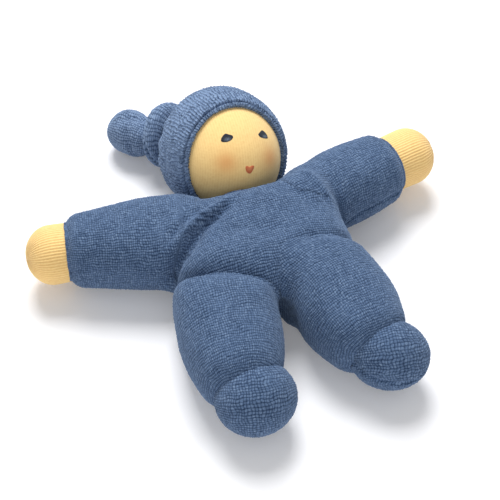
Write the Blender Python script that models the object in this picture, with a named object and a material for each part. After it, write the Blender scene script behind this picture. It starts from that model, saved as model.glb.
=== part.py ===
"""A soft baby doll in a terry suit and a knotted cap, lying on its back.

Metres, +Z up. The origin is on the flat back of the body, where it rests on the floor.
+Y points to the head and +X to the doll's own left hand. Every limb has a skin and a wool
filling, and turns about a crease, a wrist, an ankle, the neck or the knot of the cap.
"""

import math

import bmesh
import bpy
from mathutils import Matrix, Vector

# Shared clearances and walls
GAP = 0.0003
JOINT_PLAY = 0.0003
SUIT_WALL = 0.0022
SKIN_WALL = 0.0014
BACK_FLAT_DEPTH = 0.0005
CUT_OVERRUN = 0.02
WELD_DISTANCE = 0.000002

# Body
BODY_WIDTH = 0.112
BODY_THICKNESS = 0.057
BODY_LENGTH = 0.099
SEAT_TO_ORIGIN = 0.047
BODY_WIDTH_SHARES = (0.86, 0.98, 1.0, 1.0, 0.99, 0.95)
BODY_THICKNESS_SHARES = (0.90, 0.98, 1.0, 1.0, 0.98, 0.92)

# Arms
SLEEVE_WIDTH = 0.049
LEFT_SLEEVE_LENGTH = 0.0665
RIGHT_SLEEVE_LENGTH = 0.0725
ARM_ROOT_DEPTH = 0.018
SLEEVE_HEIGHT_OFF_FLOOR = 0.0267
SLEEVE_THICKNESS_SHARES = (1.12, 1.10, 1.05, 0.99, 0.93, 0.82)
LEFT_SLEEVE_WIDTH_SHARES = (1.00, 1.04, 1.05, 0.99, 0.93, 0.82)
RIGHT_SLEEVE_WIDTH_SHARES = (1.15, 1.12, 1.05, 0.99, 0.93, 0.82)
SHOULDER_INSET = 0.012
SHOULDER_UNDER_COLLAR = 0.0115
SHOULDER_CREASE_DEPTH = 0.013
SHOULDER_HUB_WIDTH_SHARE = 0.80
LEFT_ARM_SLOPE = math.radians(10)
RIGHT_ARM_SLOPE = math.radians(7)
ARM_LIFT_ROOM = math.radians(90)
HAND_WIDTH = 0.036
LEFT_HAND_LENGTH = 0.041
RIGHT_HAND_LENGTH = 0.0395
LEFT_HAND_SET_OUT = 0.0062
RIGHT_HAND_SET_OUT = 0.003
HAND_STUB_LENGTH = 0.011
HAND_STUB_WIDTH = 0.016
HAND_STUB_ROOT_SHARE = 0.5
WRIST_TIE_SET_BACK = 0.0032
HAND_CLEARANCE = 0.0007
WRIST_ROOM = 0.0003
HAND_WIDTH_SHARES = (0.96, 1.0, 1.0, 0.96)
HAND_BLUNTNESS = 2.6
CUFF_ROUNDING = 0.0045
CUFF_BLUNTNESS = 16

# Legs
LEG_WIDTH = 0.063
LEG_THICKNESS = 0.054
LEFT_LEG_LENGTH = 0.061
RIGHT_LEG_LENGTH = 0.056
LEG_WIDTH_SHARES = (0.98, 1.02, 1.02, 0.99, 0.93, 0.80)
HIP_SPREAD = 0.0685
HIP_SHIFT = -0.0018
LEFT_HIP_TO_ORIGIN = -0.027
RIGHT_HIP_TO_ORIGIN = -0.032
LEG_ROOT_DEPTH = 0.027
HIP_CREASE_DEPTH = 0.013
HIP_HUB_WIDTH_SHARE = 0.84
LEG_LIFT_ROOM = math.radians(90)
LIFT_STEPS = 5
FOOT_WIDTH = 0.051
FOOT_THICKNESS = 0.049
FOOT_OUT_RIGHT = 0.006
FOOT_OUT_LEFT = 0.0095
FOOT_REACH_RIGHT = 0.0088
FOOT_REACH_LEFT = 0.0025
ANKLE_HOLE = 0.022
FOOT_HEIGHT_OFF_FLOOR = 0.0255

# Head and neck
HEAD_WIDTH = 0.0668
HEAD_SIDE_SHIFT = 0.0085
HEAD_OVER_COLLAR = 0.0397
HEAD_TURN = math.radians(12)
NECK_WIDTH = 0.025
NECK_DEPTH_IN_BODY = 0.020
COLLAR_ROLL = 0.0042

# Cap
CAP_WALL = 0.0034
BRIM_WIDTH = 0.0125
BRIM_PROUD = 0.0018
BRIM_OPENING = math.radians(67.5)
BRIM_PITCH = math.radians(27)
CAP_NECK_ROOM = 0.0012
HEAD_THROAT_WIDTH = 0.011
CROWN_TUCK_SHARE = 0.5
KNOT_WIDTH = 0.044
KNOT_THICKNESS = 0.017
KNOT_NECK_WIDTH = 0.017
KNOT_DISTANCE = 0.0505
KNOT_TURN = math.radians(131)
KNOT_DROP = math.radians(18)
TIP_WIDTH = 0.029
TIP_LENGTH = 0.037
TIP_TURN = math.radians(143)
TIP_NECK_WIDTH = 0.012
TIP_NECK_LENGTH = 0.004
TIP_SWING_ROOM = math.radians(16)
TIP_WIDTH_SHARES = (0.62, 0.66, 0.92, 1.0, 1.0, 0.98)

# Face
EYE_WIDTH = 0.0072
EYE_HEIGHT = 0.0046
EYE_SPREAD = math.radians(21)
EYE_RISE = math.radians(52)
MOUTH_WIDTH = 0.0052
MOUTH_HEIGHT = 0.0046
MOUTH_RISE = math.radians(14.5)
MOUTH_TOP_SHARE = 0.5
STITCH_THICKNESS = 0.0006

# Threads
THREAD_WIDTH = 0.0016

# Mesh counts
FORM_AROUND = 26
FORM_ALONG = 11
INNER_AROUND = 12
INNER_ALONG = 6
HUB_AROUND = 16
HEAD_AROUND = 30
HEAD_ALONG = 15
BRIM_AROUND = 36
BRIM_SIDES = 8
PATCH_POINTS = 12
RING_SIDES = 6
UNDER_FLATNESS = 2.5
UPPER_FLATNESS = 2.1
BODY_BLUNTNESS = 3.4
LIMB_BLUNTNESS = 5.0
BALL_BLUNTNESS = 2.0

COLOURS = {
    "suit_terry": ((0.080, 0.138, 0.245), 0.95),
    "cap_terry": ((0.090, 0.150, 0.262), 0.95),
    "skin_jersey": ((0.860, 0.600, 0.300), 0.88),
    "wool_filling": ((0.800, 0.760, 0.660), 0.98),
    "tying_thread": ((0.780, 0.700, 0.560), 0.80),
    "eye_blue": ((0.020, 0.035, 0.070), 0.70),
    "mouth_red": ((0.560, 0.150, 0.070), 0.80),
}


def clear_scene():
    """Removes what the file held before."""
    for old in list(bpy.data.objects):
        bpy.data.objects.remove(old)


def finish_for(slot):
    """Returns the plain material of a slot, made once."""
    found = bpy.data.materials.get(slot)
    if found:
        return found
    colour, roughness = COLOURS[slot]
    made = bpy.data.materials.new(slot)
    made.use_nodes = True
    shader = made.node_tree.nodes["Principled BSDF"]
    shader.inputs["Base Color"].default_value = (*colour, 1)
    shader.inputs["Roughness"].default_value = roughness
    shader.inputs["Metallic"].default_value = 0
    return made


def mesh_object(name, points, faces):
    """Returns an object made from points and faces in world places."""
    mesh = bpy.data.meshes.new(name)
    mesh.from_pydata([tuple(point) for point in points], [], faces)
    mesh.shade_smooth()
    made = bpy.data.objects.new(name, mesh)
    bpy.context.scene.collection.objects.link(made)
    return made


def share_at(shares, t):
    """Reads a row of shares at t from 0 to 1 on a smooth curve."""
    place = min(max(t, 0), 1) * (len(shares) - 1)
    low = min(int(place), len(shares) - 2)
    part = place - low
    ease = part * part * (3 - 2 * part)
    return shares[low] + (shares[low + 1] - shares[low]) * ease


def signed_power(value, power):
    """Raises a number's size to a power and keeps its sign."""
    return math.copysign(abs(value) ** power, value)


class StuffedForm:
    """A stuffed tube with rounded ends, whose section swells and tapers along its spine."""

    def __init__(self, start, end, width, thickness, width_shares=(1, 1), thickness_shares=None,
                 blunt_start=LIMB_BLUNTNESS, blunt_end=LIMB_BLUNTNESS, flat_under=UNDER_FLATNESS):
        self.start, self.end = Vector(start), Vector(end)
        self.width, self.thickness = width, thickness
        self.width_shares = width_shares
        self.thickness_shares = thickness_shares or width_shares
        self.blunt_start, self.blunt_end = blunt_start, blunt_end
        self.flat_under = flat_under

    def roundness(self, t):
        """Share of the full section left by the rounded ends at t."""
        blunt = self.blunt_start if t < 0.5 else self.blunt_end
        return math.sqrt(max(0, 1 - abs(2 * t - 1) ** blunt))

    def half_sizes(self, t):
        """Half width and half thickness at t."""
        round_share = self.roundness(t) / 2
        wide = self.width * share_at(self.width_shares, t)
        thick = self.thickness * share_at(self.thickness_shares, t)
        return wide * round_share, thick * round_share

    def ring(self, t, grow, around):
        """Points of the section at t, moved out along the surface's normal by grow."""
        spine = self.end - self.start
        length = spine.length
        along = spine / length
        side = Vector((0, 0, 1)).cross(along).normalized()
        up = along.cross(side)
        step = 1 / (FORM_ALONG * FORM_ALONG)
        before, after = self.half_sizes(max(t - step, 0)), self.half_sizes(min(t + step, 1))
        span = (min(t + step, 1) - max(t - step, 0)) * length
        slope = ((after[0] - before[0]) + (after[1] - before[1])) / 2 / span
        lean = 1 / math.hypot(1, slope)
        centre = self.start + spine * t - along * (slope * lean * grow)
        wide, thick = (half + grow * lean for half in self.half_sizes(t))
        points = []
        for step_index in range(around):
            angle = math.tau * step_index / around
            flat = UPPER_FLATNESS if math.sin(angle) > 0 else self.flat_under
            across = signed_power(math.cos(angle), 2 / flat) * wide
            height = signed_power(math.sin(angle), 2 / flat) * thick
            points.append(centre + side * across + up * height)
        return points

    def make(self, name, grow=0.0, around=FORM_AROUND, count=FORM_ALONG):
        """Returns a closed mesh object of the form, grown or shrunk by grow."""
        along = (self.end - self.start).normalized()
        points = [self.start - along * grow]
        for index in range(1, count):
            t = (1 - math.cos(math.pi * index / count)) / 2
            points += self.ring(t, grow, around)
        points.append(self.end + along * grow)
        last = len(points) - 1
        faces = []
        for j in range(around):
            k = (j + 1) % around
            faces.append((0, 1 + j, 1 + k))
            for row in range(count - 2):
                a, b = 1 + row * around, 1 + (row + 1) * around
                faces.append((a + j, b + j, b + k, a + k))
            end = 1 + (count - 2) * around
            faces.append((last, end + k, end + j))
        return facing_out(mesh_object(name, points, faces))


def facing_out(made):
    """Turns a closed mesh the right way round if its volume is negative."""
    volume = 0
    vertices = made.data.vertices
    for face in made.data.polygons:
        corner = [vertices[index].co for index in face.vertices]
        for second, third in zip(corner[1:], corner[2:]):
            volume += corner[0].dot(second.cross(third))
    if volume < 0:
        made.data.flip_normals()
    return made


def ball(name, centre, half_sizes, pole=2, around=FORM_AROUND, count=FORM_ALONG):
    """Returns a ball with three half sizes, whose rings run round the axis numbered pole."""
    points = [Vector((0, 0, -1))]
    for index in range(1, count):
        fall = math.pi * index / count
        for step_index in range(around):
            angle = math.tau * step_index / around
            flat = Vector((math.cos(angle), math.sin(angle), 0)) * math.sin(fall)
            points.append(flat - Vector((0, 0, math.cos(fall))))
    points.append(Vector((0, 0, 1)))
    places = []
    for point in points:
        swapped = [point[(axis - pole - 1) % 3] for axis in range(3)]
        places.append(Vector(centre) + Vector(v * half for v, half in zip(swapped, half_sizes)))
    last = len(points) - 1
    faces = []
    for j in range(around):
        k = (j + 1) % around
        faces.append((0, 1 + k, 1 + j))
        for row in range(count - 2):
            a, b = 1 + row * around, 1 + (row + 1) * around
            faces.append((a + j, a + k, b + k, b + j))
        end = 1 + (count - 2) * around
        faces.append((last, end + j, end + k))
    return facing_out(mesh_object(name, places, faces))


def block(name, low, high):
    """Returns a box between two corners."""
    corners = [(x, y, z) for x in (low[0], high[0]) for y in (low[1], high[1]) for z in (low[2], high[2])]
    faces = [(0, 1, 3, 2), (4, 6, 7, 5), (0, 4, 5, 1), (2, 3, 7, 6), (0, 2, 6, 4), (1, 5, 7, 3)]
    return facing_out(mesh_object(name, corners, faces))


def rod(name, start, end, start_width, end_width, around=INNER_AROUND):
    """Returns a straight cone or cylinder with flat ends."""
    start, end = Vector(start), Vector(end)
    along = (end - start).normalized()
    side = along.orthogonal().normalized()
    up = along.cross(side)
    points = []
    for centre, width in ((start, start_width), (end, end_width)):
        for step_index in range(around):
            angle = math.tau * step_index / around
            points.append(centre + (side * math.cos(angle) + up * math.sin(angle)) * (width / 2))
    faces = [tuple(range(around)), tuple(range(around, 2 * around))[::-1]]
    for j in range(around):
        k = (j + 1) % around
        faces.append((j, around + j, around + k, k))
    return facing_out(mesh_object(name, points, faces))


def thread_ring(name, centre, normal, radii, thick, around=INNER_AROUND, sides=RING_SIDES):
    """Returns a round thread laid as a ring; radii are its two half widths across the normal."""
    normal = Vector(normal).normalized()
    side = (Vector((1, 0, 0)) - normal * normal.x)
    side = side.normalized() if side.length > thick else normal.orthogonal().normalized()
    up = normal.cross(side)
    points, faces = [], []
    for step_index in range(around):
        angle = math.tau * step_index / around
        out = (side * math.cos(angle) * radii[0] + up * math.sin(angle) * radii[1])
        for turn_index in range(sides):
            turn = math.tau * turn_index / sides
            points.append(Vector(centre) + out + (out.normalized() * math.cos(turn)
                          + normal * math.sin(turn)) * (thick / 2))
    for j in range(around):
        k = (j + 1) % around
        for m in range(sides):
            n = (m + 1) % sides
            faces.append((j * sides + m, k * sides + m, k * sides + n, j * sides + n))
    return facing_out(mesh_object(name, points, faces))


def carve(target, operation, tools, keep_tools=False):
    """Cuts, joins or clips a piece with other solids, one after the other."""
    for tool in tools:
        step = target.modifiers.new(tool.name, "BOOLEAN")
        step.operation = operation
        step.solver = "EXACT"
        step.object = tool
        bpy.context.view_layer.update()
        graph = bpy.context.evaluated_depsgraph_get()
        carved = bpy.data.meshes.new_from_object(target.evaluated_get(graph))
        target.modifiers.remove(step)
        target.data = carved
    if not keep_tools:
        for tool in tools:
            bpy.data.objects.remove(tool)
    return target


def turned(made, pivot, axis, angle):
    """Turns a cutter about a pivot, as its limb turns."""
    there = Matrix.Translation(pivot)
    made.data.transform(there @ Matrix.Rotation(angle, 4, Vector(axis)) @ there.inverted())
    return made


def pivot_empty(name, place, parent=None):
    """Returns an empty on a joint's axis, which its pieces hang from."""
    made = bpy.data.objects.new(name, None)
    bpy.context.scene.collection.objects.link(made)
    made.empty_display_size = THREAD_WIDTH
    made.location = Vector(place) - (Vector(parent["place"]) if parent else Vector((0, 0, 0)))
    made["place"] = tuple(place)
    made.parent = parent
    return made


def welded(made):
    """Joins the points that a cut left on top of each other."""
    work = bmesh.new()
    work.from_mesh(made.data)
    bmesh.ops.remove_doubles(work, verts=work.verts, dist=WELD_DISTANCE)
    work.to_mesh(made.data)
    work.free()


def finished(made, slot, pivot):
    """Dresses a piece in its material and hangs it from its joint's empty."""
    welded(made)
    made.data.materials.clear()
    made.data.materials.append(finish_for(slot))
    made.data.transform(Matrix.Translation(-Vector(pivot["place"])))
    made.parent = pivot
    return made


def floor_block(grow=0.0):
    """Returns the block under the floor that cuts the resting pieces flat."""
    reach = BODY_WIDTH + BODY_LENGTH + LEFT_LEG_LENGTH
    return block("floor_cut", (-reach, -reach, -reach), (reach, reach, grow))


class Body:
    """The middle of the doll: the suit's body, its filling and its collar."""

    def __init__(self):
        sink = BACK_FLAT_DEPTH
        self.middle_height = BODY_THICKNESS / 2 - sink
        start = (0, -SEAT_TO_ORIGIN, self.middle_height)
        end = (0, BODY_LENGTH - SEAT_TO_ORIGIN, self.middle_height)
        self.form = StuffedForm(start, end, BODY_WIDTH, BODY_THICKNESS, BODY_WIDTH_SHARES,
                                BODY_THICKNESS_SHARES, BODY_BLUNTNESS, BODY_BLUNTNESS)

    def top(self):
        """Height of the belly over the floor."""
        return BODY_THICKNESS - BACK_FLAT_DEPTH

    def neck_end(self):
        """Middle of the end of the body that the neck stands in."""
        return self.form.end


class Limb:
    """What an arm and a leg share: a form that starts in a crease of the body and lifts about it."""

    def __init__(self, side, pivot, axis, form, hub_half, crease, room):
        self.side, self.pivot, self.axis, self.form = side, Vector(pivot), Vector(axis), form
        self.hub_half, self.crease, self.room = hub_half, crease, room
        self.out = (form.end - form.start).normalized()

    def hub(self, name, grow):
        """The rounded root that turns in the crease."""
        axis_index = 0 if abs(self.axis.x) > 0.5 else 1
        half = [self.crease + grow] * 3
        half[axis_index] = self.hub_half + grow
        return ball(name, self.pivot, half, axis_index, HUB_AROUND, INNER_ALONG)

    def root_block(self, name, grow):
        """The block on the body's side of the limb's root."""
        reach = BODY_WIDTH
        low, high = [-reach] * 3, [reach] * 3
        if abs(self.axis.x) > 0.5:
            low[1] = self.pivot.y + grow
        elif self.side > 0:
            high[0] = self.pivot.x - grow
        else:
            low[0] = self.pivot.x + grow
        return block(name, low, high)

    def solid(self, name, grow, around=FORM_AROUND, count=FORM_ALONG):
        """The limb's solid: its form clipped at the root, with the hub joined on."""
        made = self.form.make(name, grow, around, count)
        carve(made, "DIFFERENCE", [self.root_block("root_cut", grow)])
        return carve(made, "UNION", [self.hub("hub", grow)])

    def body_cutters(self, grow):
        """What the body leaves open for the limb, from rest to lifted."""
        cutters = [self.hub("hub_cut", grow)]
        for step in range(LIFT_STEPS + 1):
            cutter = self.form.make("limb_cut", grow)
            carve(cutter, "DIFFERENCE", [self.root_block("root_cut", grow)])
            cutters.append(turned(cutter, self.pivot, self.axis, self.room * step / LIFT_STEPS))
        return cutters


def arm(side):
    """Returns the left arm for side 1 and the right arm for side -1."""
    pivot_x = side * (BODY_WIDTH / 2 - SHOULDER_INSET)
    top = SLEEVE_HEIGHT_OFF_FLOOR + SLEEVE_WIDTH * SLEEVE_THICKNESS_SHARES[0] / 2
    shoulder_y = BODY_LENGTH - SEAT_TO_ORIGIN - SHOULDER_UNDER_COLLAR
    pivot = (pivot_x, shoulder_y, top - SHOULDER_CREASE_DEPTH)
    tilt, length, shares = ((LEFT_ARM_SLOPE, LEFT_SLEEVE_LENGTH, LEFT_SLEEVE_WIDTH_SHARES) if side > 0
                            else (RIGHT_ARM_SLOPE, RIGHT_SLEEVE_LENGTH, RIGHT_SLEEVE_WIDTH_SHARES))
    slope = Vector((side * math.cos(tilt), math.sin(tilt), 0))
    root = Vector((pivot_x, shoulder_y, SLEEVE_HEIGHT_OFF_FLOOR))
    form = StuffedForm(root - slope * ARM_ROOT_DEPTH, root + slope * length, SLEEVE_WIDTH, SLEEVE_WIDTH,
                       shares, SLEEVE_THICKNESS_SHARES, blunt_end=CUFF_BLUNTNESS)
    hub_half = SLEEVE_WIDTH / 2 * SHOULDER_HUB_WIDTH_SHARE
    return Limb(side, pivot, (0, -side, 0), form, hub_half, SHOULDER_CREASE_DEPTH, ARM_LIFT_ROOM)


def leg(side):
    """Returns the left leg for side 1 and the right leg for side -1."""
    middle_x = HIP_SHIFT + side * HIP_SPREAD / 2
    height = LEG_THICKNESS / 2 - BACK_FLAT_DEPTH
    hip_y, length = ((LEFT_HIP_TO_ORIGIN, LEFT_LEG_LENGTH) if side > 0
                     else (RIGHT_HIP_TO_ORIGIN, RIGHT_LEG_LENGTH))
    pivot = (middle_x, hip_y, height + LEG_THICKNESS / 2 - HIP_CREASE_DEPTH)
    foot_out = FOOT_OUT_LEFT if side > 0 else FOOT_OUT_RIGHT
    start = Vector((middle_x, hip_y + LEG_ROOT_DEPTH, height))
    end = Vector((middle_x + side * foot_out / 2, hip_y - length, height))
    form = StuffedForm(start, end, LEG_WIDTH, LEG_THICKNESS, LEG_WIDTH_SHARES)
    hub_half = LEG_WIDTH / 2 * HIP_HUB_WIDTH_SHARE
    return Limb(side, pivot, (-1, 0, 0), form, hub_half, HIP_CREASE_DEPTH, LEG_LIFT_ROOM)


def hand_middle(limb):
    """Middle of a hand, just past the end of its sleeve."""
    set_out = LEFT_HAND_SET_OUT if limb.side > 0 else RIGHT_HAND_SET_OUT
    return limb.form.end + limb.out * (set_out - CUFF_ROUNDING)


class Head:
    """Where the head, its face opening, the neck and the knot lie."""

    def __init__(self, body):
        self.radius = HEAD_WIDTH / 2
        self.cap_radius = self.radius + GAP + CAP_WALL
        self.neck_base = body.neck_end()
        self.centre = Vector((HEAD_SIDE_SHIFT, self.neck_base.y + HEAD_OVER_COLLAR,
                              self.cap_radius - BACK_FLAT_DEPTH))
        self.turn = Matrix.Rotation(HEAD_TURN, 3, "Y")
        self.side = self.turn @ Vector((1, 0, 0))
        self.face = self.way(BRIM_PITCH, 0)
        self.neck_axis = (self.centre - self.neck_base).normalized()
        level = Vector((math.cos(KNOT_TURN), math.sin(KNOT_TURN), 0))
        self.knot_way = level * math.cos(KNOT_DROP) - Vector((0, 0, math.sin(KNOT_DROP)))
        self.knot_lift_axis = level.cross(Vector((0, 0, 1)))
        self.knot_centre = self.centre + self.knot_way * KNOT_DISTANCE
        self.knot_pivot = self.knot_centre - self.knot_way * (KNOT_THICKNESS / 2)
        self.tip_pivot = self.knot_centre + self.knot_way * (KNOT_THICKNESS / 2)
        drop = (self.tip_pivot.z - TIP_WIDTH / 2) / (TIP_LENGTH - TIP_WIDTH / 2)
        self.tip_way = Vector((math.cos(TIP_TURN), math.sin(TIP_TURN), 0)) * math.sqrt(1 - drop * drop)
        self.tip_way -= Vector((0, 0, drop))

    def way(self, rise, spread):
        """Direction from the head's middle to a place on the face."""
        return self.turn @ Vector((math.sin(spread), -math.cos(spread) * math.cos(rise),
                                   math.cos(spread) * math.sin(rise)))


def face_patch(name, head, rise, spread, width, height, top_share):
    """Returns a thin printed or stitched patch that follows the face; top_share shapes its upper edge."""
    way = head.way(rise, spread)
    up = way.cross(head.side).normalized()
    side = up.cross(way)
    low = head.radius + GAP
    points = []
    for radius in (low, low + STITCH_THICKNESS):
        points.append(head.centre + way * radius)
        for index in range(PATCH_POINTS):
            angle = math.tau * index / PATCH_POINTS
            lift = math.sin(angle) * (top_share if math.sin(angle) > 0 else 1)
            place = way * radius + side * (math.cos(angle) * width / 2) + up * (lift * height / 2)
            points.append(head.centre + place.normalized() * radius)
    faces = []
    upper = PATCH_POINTS + 1
    for j in range(PATCH_POINTS):
        k = (j + 1) % PATCH_POINTS
        faces.append((0, 1 + k, 1 + j))
        faces.append((upper, upper + 1 + j, upper + 1 + k))
        faces.append((1 + j, 1 + k, upper + 1 + k, upper + 1 + j))
    return facing_out(mesh_object(name, points, faces))


def brim_ring(name, head, grow):
    """Returns the cap's rolled brim, a flattened roll round the face opening."""
    middle = head.radius + GAP + (CAP_WALL + BRIM_PROUD) / 2
    half_thick = (CAP_WALL + BRIM_PROUD) / 2 + grow
    half_wide = BRIM_WIDTH / 2 + grow
    up = head.face.cross(head.side)
    points, faces = [], []
    for index in range(BRIM_AROUND):
        angle = math.tau * index / BRIM_AROUND
        level = head.side * math.cos(angle) + up * math.sin(angle)
        out = head.face * math.cos(BRIM_OPENING) + level * math.sin(BRIM_OPENING)
        along = head.face * -math.sin(BRIM_OPENING) + level * math.cos(BRIM_OPENING)
        for turn_index in range(BRIM_SIDES):
            turn = math.tau * turn_index / BRIM_SIDES
            place = out * (middle + math.cos(turn) * half_thick) + along * (math.sin(turn) * half_wide)
            points.append(head.centre + place)
    for j in range(BRIM_AROUND):
        k = (j + 1) % BRIM_AROUND
        for m in range(BRIM_SIDES):
            n = (m + 1) % BRIM_SIDES
            faces.append((j * BRIM_SIDES + m, k * BRIM_SIDES + m, k * BRIM_SIDES + n, j * BRIM_SIDES + n))
    return facing_out(mesh_object(name, points, faces))


def face_side_block(name, head, opening):
    """Returns a block that fills the face's side of a plane across the cap."""
    reach = head.cap_radius * 2
    near = head.cap_radius * math.cos(opening)
    made = block(name, (-reach, -reach, near), (reach, reach, reach))
    turn = Vector((0, 0, 1)).rotation_difference(head.face).to_matrix().to_4x4()
    made.data.transform(Matrix.Translation(head.centre) @ turn)
    return made


def make_body(body, limbs, head, pivot):
    """Builds the suit's body, its filling and the collar."""
    bore = NECK_WIDTH + 2 * (GAP + JOINT_PLAY)
    far = body.neck_end() + head.neck_axis * CUT_OVERRUN
    deep = body.neck_end() - head.neck_axis * (NECK_DEPTH_IN_BODY + GAP)
    shell = body.form.make("body_suit")
    hollow = body.form.make("hollow", -SUIT_WALL, INNER_AROUND, INNER_ALONG)
    filling = body.form.make("body_filling", -SUIT_WALL - GAP, INNER_AROUND, INNER_ALONG)
    for limb in limbs:
        carve(shell, "DIFFERENCE", limb.body_cutters(GAP))
        carve(hollow, "DIFFERENCE", limb.body_cutters(GAP + SUIT_WALL))
        carve(filling, "DIFFERENCE", limb.body_cutters(2 * GAP + SUIT_WALL))
    carve(shell, "DIFFERENCE", [hollow])
    for made, slot in ((shell, "suit_terry"), (filling, "wool_filling")):
        carve(made, "DIFFERENCE", [rod("bore", deep, far, bore, bore, HUB_AROUND), floor_block()])
        finished(made, slot, pivot)
    roll_middle = body.neck_end() + head.neck_axis * (COLLAR_ROLL / 2 + GAP)
    roll_radius = bore / 2 + COLLAR_ROLL / 2
    collar = thread_ring("collar_roll", roll_middle, head.neck_axis, (roll_radius, roll_radius),
                         COLLAR_ROLL, HUB_AROUND)
    carve(collar, "DIFFERENCE", [body.form.make("seat_cut", GAP)])
    finished(collar, "suit_terry", pivot)


def make_arm(side_name, limb, pivot, wrist):
    """Builds a sleeve, its filling, and the hand with its filling and tie."""
    end, out = limb.form.end, limb.out
    hand_centre = hand_middle(limb)
    hole = HAND_WIDTH + 2 * HAND_CLEARANCE
    deep = hand_centre - out * (HAND_WIDTH / 2 + HAND_STUB_LENGTH + GAP)
    sleeve = limb.solid(side_name + "_sleeve", 0.0)
    hollow = limb.form.make("hollow", -SUIT_WALL, INNER_AROUND, INNER_ALONG)
    carve(hollow, "DIFFERENCE", [rod("cuff_end", deep, end + out * CUT_OVERRUN, SLEEVE_WIDTH * 2,
                                     SLEEVE_WIDTH * 2)])
    carve(sleeve, "DIFFERENCE", [hollow, rod("hand_hole", deep - out * GAP, end + out * CUT_OVERRUN, hole,
                                             hole, HUB_AROUND)])
    finished(sleeve, "suit_terry", pivot)
    filling = limb.form.make(side_name + "_arm_filling", -SUIT_WALL - GAP, INNER_AROUND, INNER_ALONG)
    carve(filling, "DIFFERENCE", [limb.root_block("root_cut", 0.0),
                                  rod("cuff_end", deep - out * WRIST_ROOM, end + out * CUT_OVERRUN,
                                      SLEEVE_WIDTH * 2, SLEEVE_WIDTH * 2)])
    finished(filling, "wool_filling", pivot)
    make_hand(side_name, limb, hand_centre, wrist)


def make_hand(side_name, limb, hand_centre, wrist):
    """Builds a hand: a jersey mitten with a tied stub, and its filling."""
    out = limb.out
    half = HAND_WIDTH / 2
    length = LEFT_HAND_LENGTH if limb.side > 0 else RIGHT_HAND_LENGTH
    form = StuffedForm(hand_centre - out * half, hand_centre + out * (length - half), HAND_WIDTH,
                       HAND_WIDTH, HAND_WIDTH_SHARES, blunt_start=BALL_BLUNTNESS,
                       blunt_end=HAND_BLUNTNESS, flat_under=BALL_BLUNTNESS)
    skin = form.make(side_name + "_hand", 0.0, HUB_AROUND, INNER_ALONG + 2)
    stub_end = hand_centre - out * (half + HAND_STUB_LENGTH - GAP)
    stub_root = hand_centre - out * (half * HAND_STUB_ROOT_SHARE)
    stub = rod("stub", stub_root, stub_end, HAND_STUB_WIDTH, HAND_STUB_WIDTH)
    carve(skin, "UNION", [stub])
    hollow = form.make("hollow", -SKIN_WALL, INNER_AROUND, INNER_ALONG)
    throat = HAND_STUB_WIDTH - 2 * SKIN_WALL
    carve(skin, "DIFFERENCE", [hollow, rod("throat", hand_centre, stub_end - out * CUT_OVERRUN, throat,
                                           throat)])
    finished(skin, "skin_jersey", wrist)
    filling = form.make(side_name + "_hand_filling", -SKIN_WALL - GAP, INNER_AROUND, INNER_ALONG)
    finished(filling, "wool_filling", wrist)
    tie_radius = HAND_STUB_WIDTH / 2 + GAP + THREAD_WIDTH / 2
    tie_middle = stub_end + out * WRIST_TIE_SET_BACK
    tie = thread_ring(side_name + "_wrist_thread", tie_middle, out, (tie_radius, tie_radius), THREAD_WIDTH)
    finished(tie, "tying_thread", wrist)


def foot_half_sizes(grow):
    """Half sizes of a foot's ball, grown or shrunk."""
    return (FOOT_WIDTH / 2 + grow, FOOT_THICKNESS / 2 + grow, FOOT_THICKNESS / 2 + grow)


def foot_centre(limb):
    """Middle of a foot, just past the end of its leg."""
    foot_out, reach = ((FOOT_OUT_LEFT, FOOT_REACH_LEFT) if limb.side > 0
                       else (FOOT_OUT_RIGHT, FOOT_REACH_RIGHT))
    return Vector((limb.pivot.x + limb.side * foot_out, limb.form.end.y - reach, FOOT_HEIGHT_OFF_FLOOR))


def make_leg(side_name, limb, pivot, ankle):
    """Builds a leg, its filling, and the foot with its filling."""
    centre = foot_centre(limb)
    leg_skin = limb.solid(side_name + "_leg", 0.0)
    socket = ball("socket", centre, foot_half_sizes(GAP + JOINT_PLAY), 0)
    hollow = limb.form.make("hollow", -SUIT_WALL, INNER_AROUND, INNER_ALONG)
    carve(leg_skin, "DIFFERENCE", [hollow, socket, floor_block()])
    finished(leg_skin, "suit_terry", pivot)
    filling = limb.form.make(side_name + "_leg_filling", -SUIT_WALL - GAP, INNER_AROUND, INNER_ALONG)
    socket = ball("socket", centre, foot_half_sizes(GAP + JOINT_PLAY), 0)
    carve(filling, "DIFFERENCE", [limb.root_block("root_cut", 0.0), socket])
    finished(filling, "wool_filling", pivot)
    skin = ball(side_name + "_foot", centre, foot_half_sizes(0.0), 0, FORM_AROUND, FORM_ALONG)
    hollow = ball("hollow", centre, foot_half_sizes(-SUIT_WALL), 0, INNER_AROUND, INNER_ALONG)
    ankle_hole = rod("ankle_hole", centre, centre + Vector((0, FOOT_WIDTH, 0)), ANKLE_HOLE, ANKLE_HOLE)
    carve(skin, "DIFFERENCE", [hollow, ankle_hole])
    finished(skin, "suit_terry", ankle)
    wool = ball(side_name + "_foot_filling", centre, foot_half_sizes(-SUIT_WALL - GAP), 0, INNER_AROUND,
                INNER_ALONG)
    finished(wool, "wool_filling", ankle)


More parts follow.
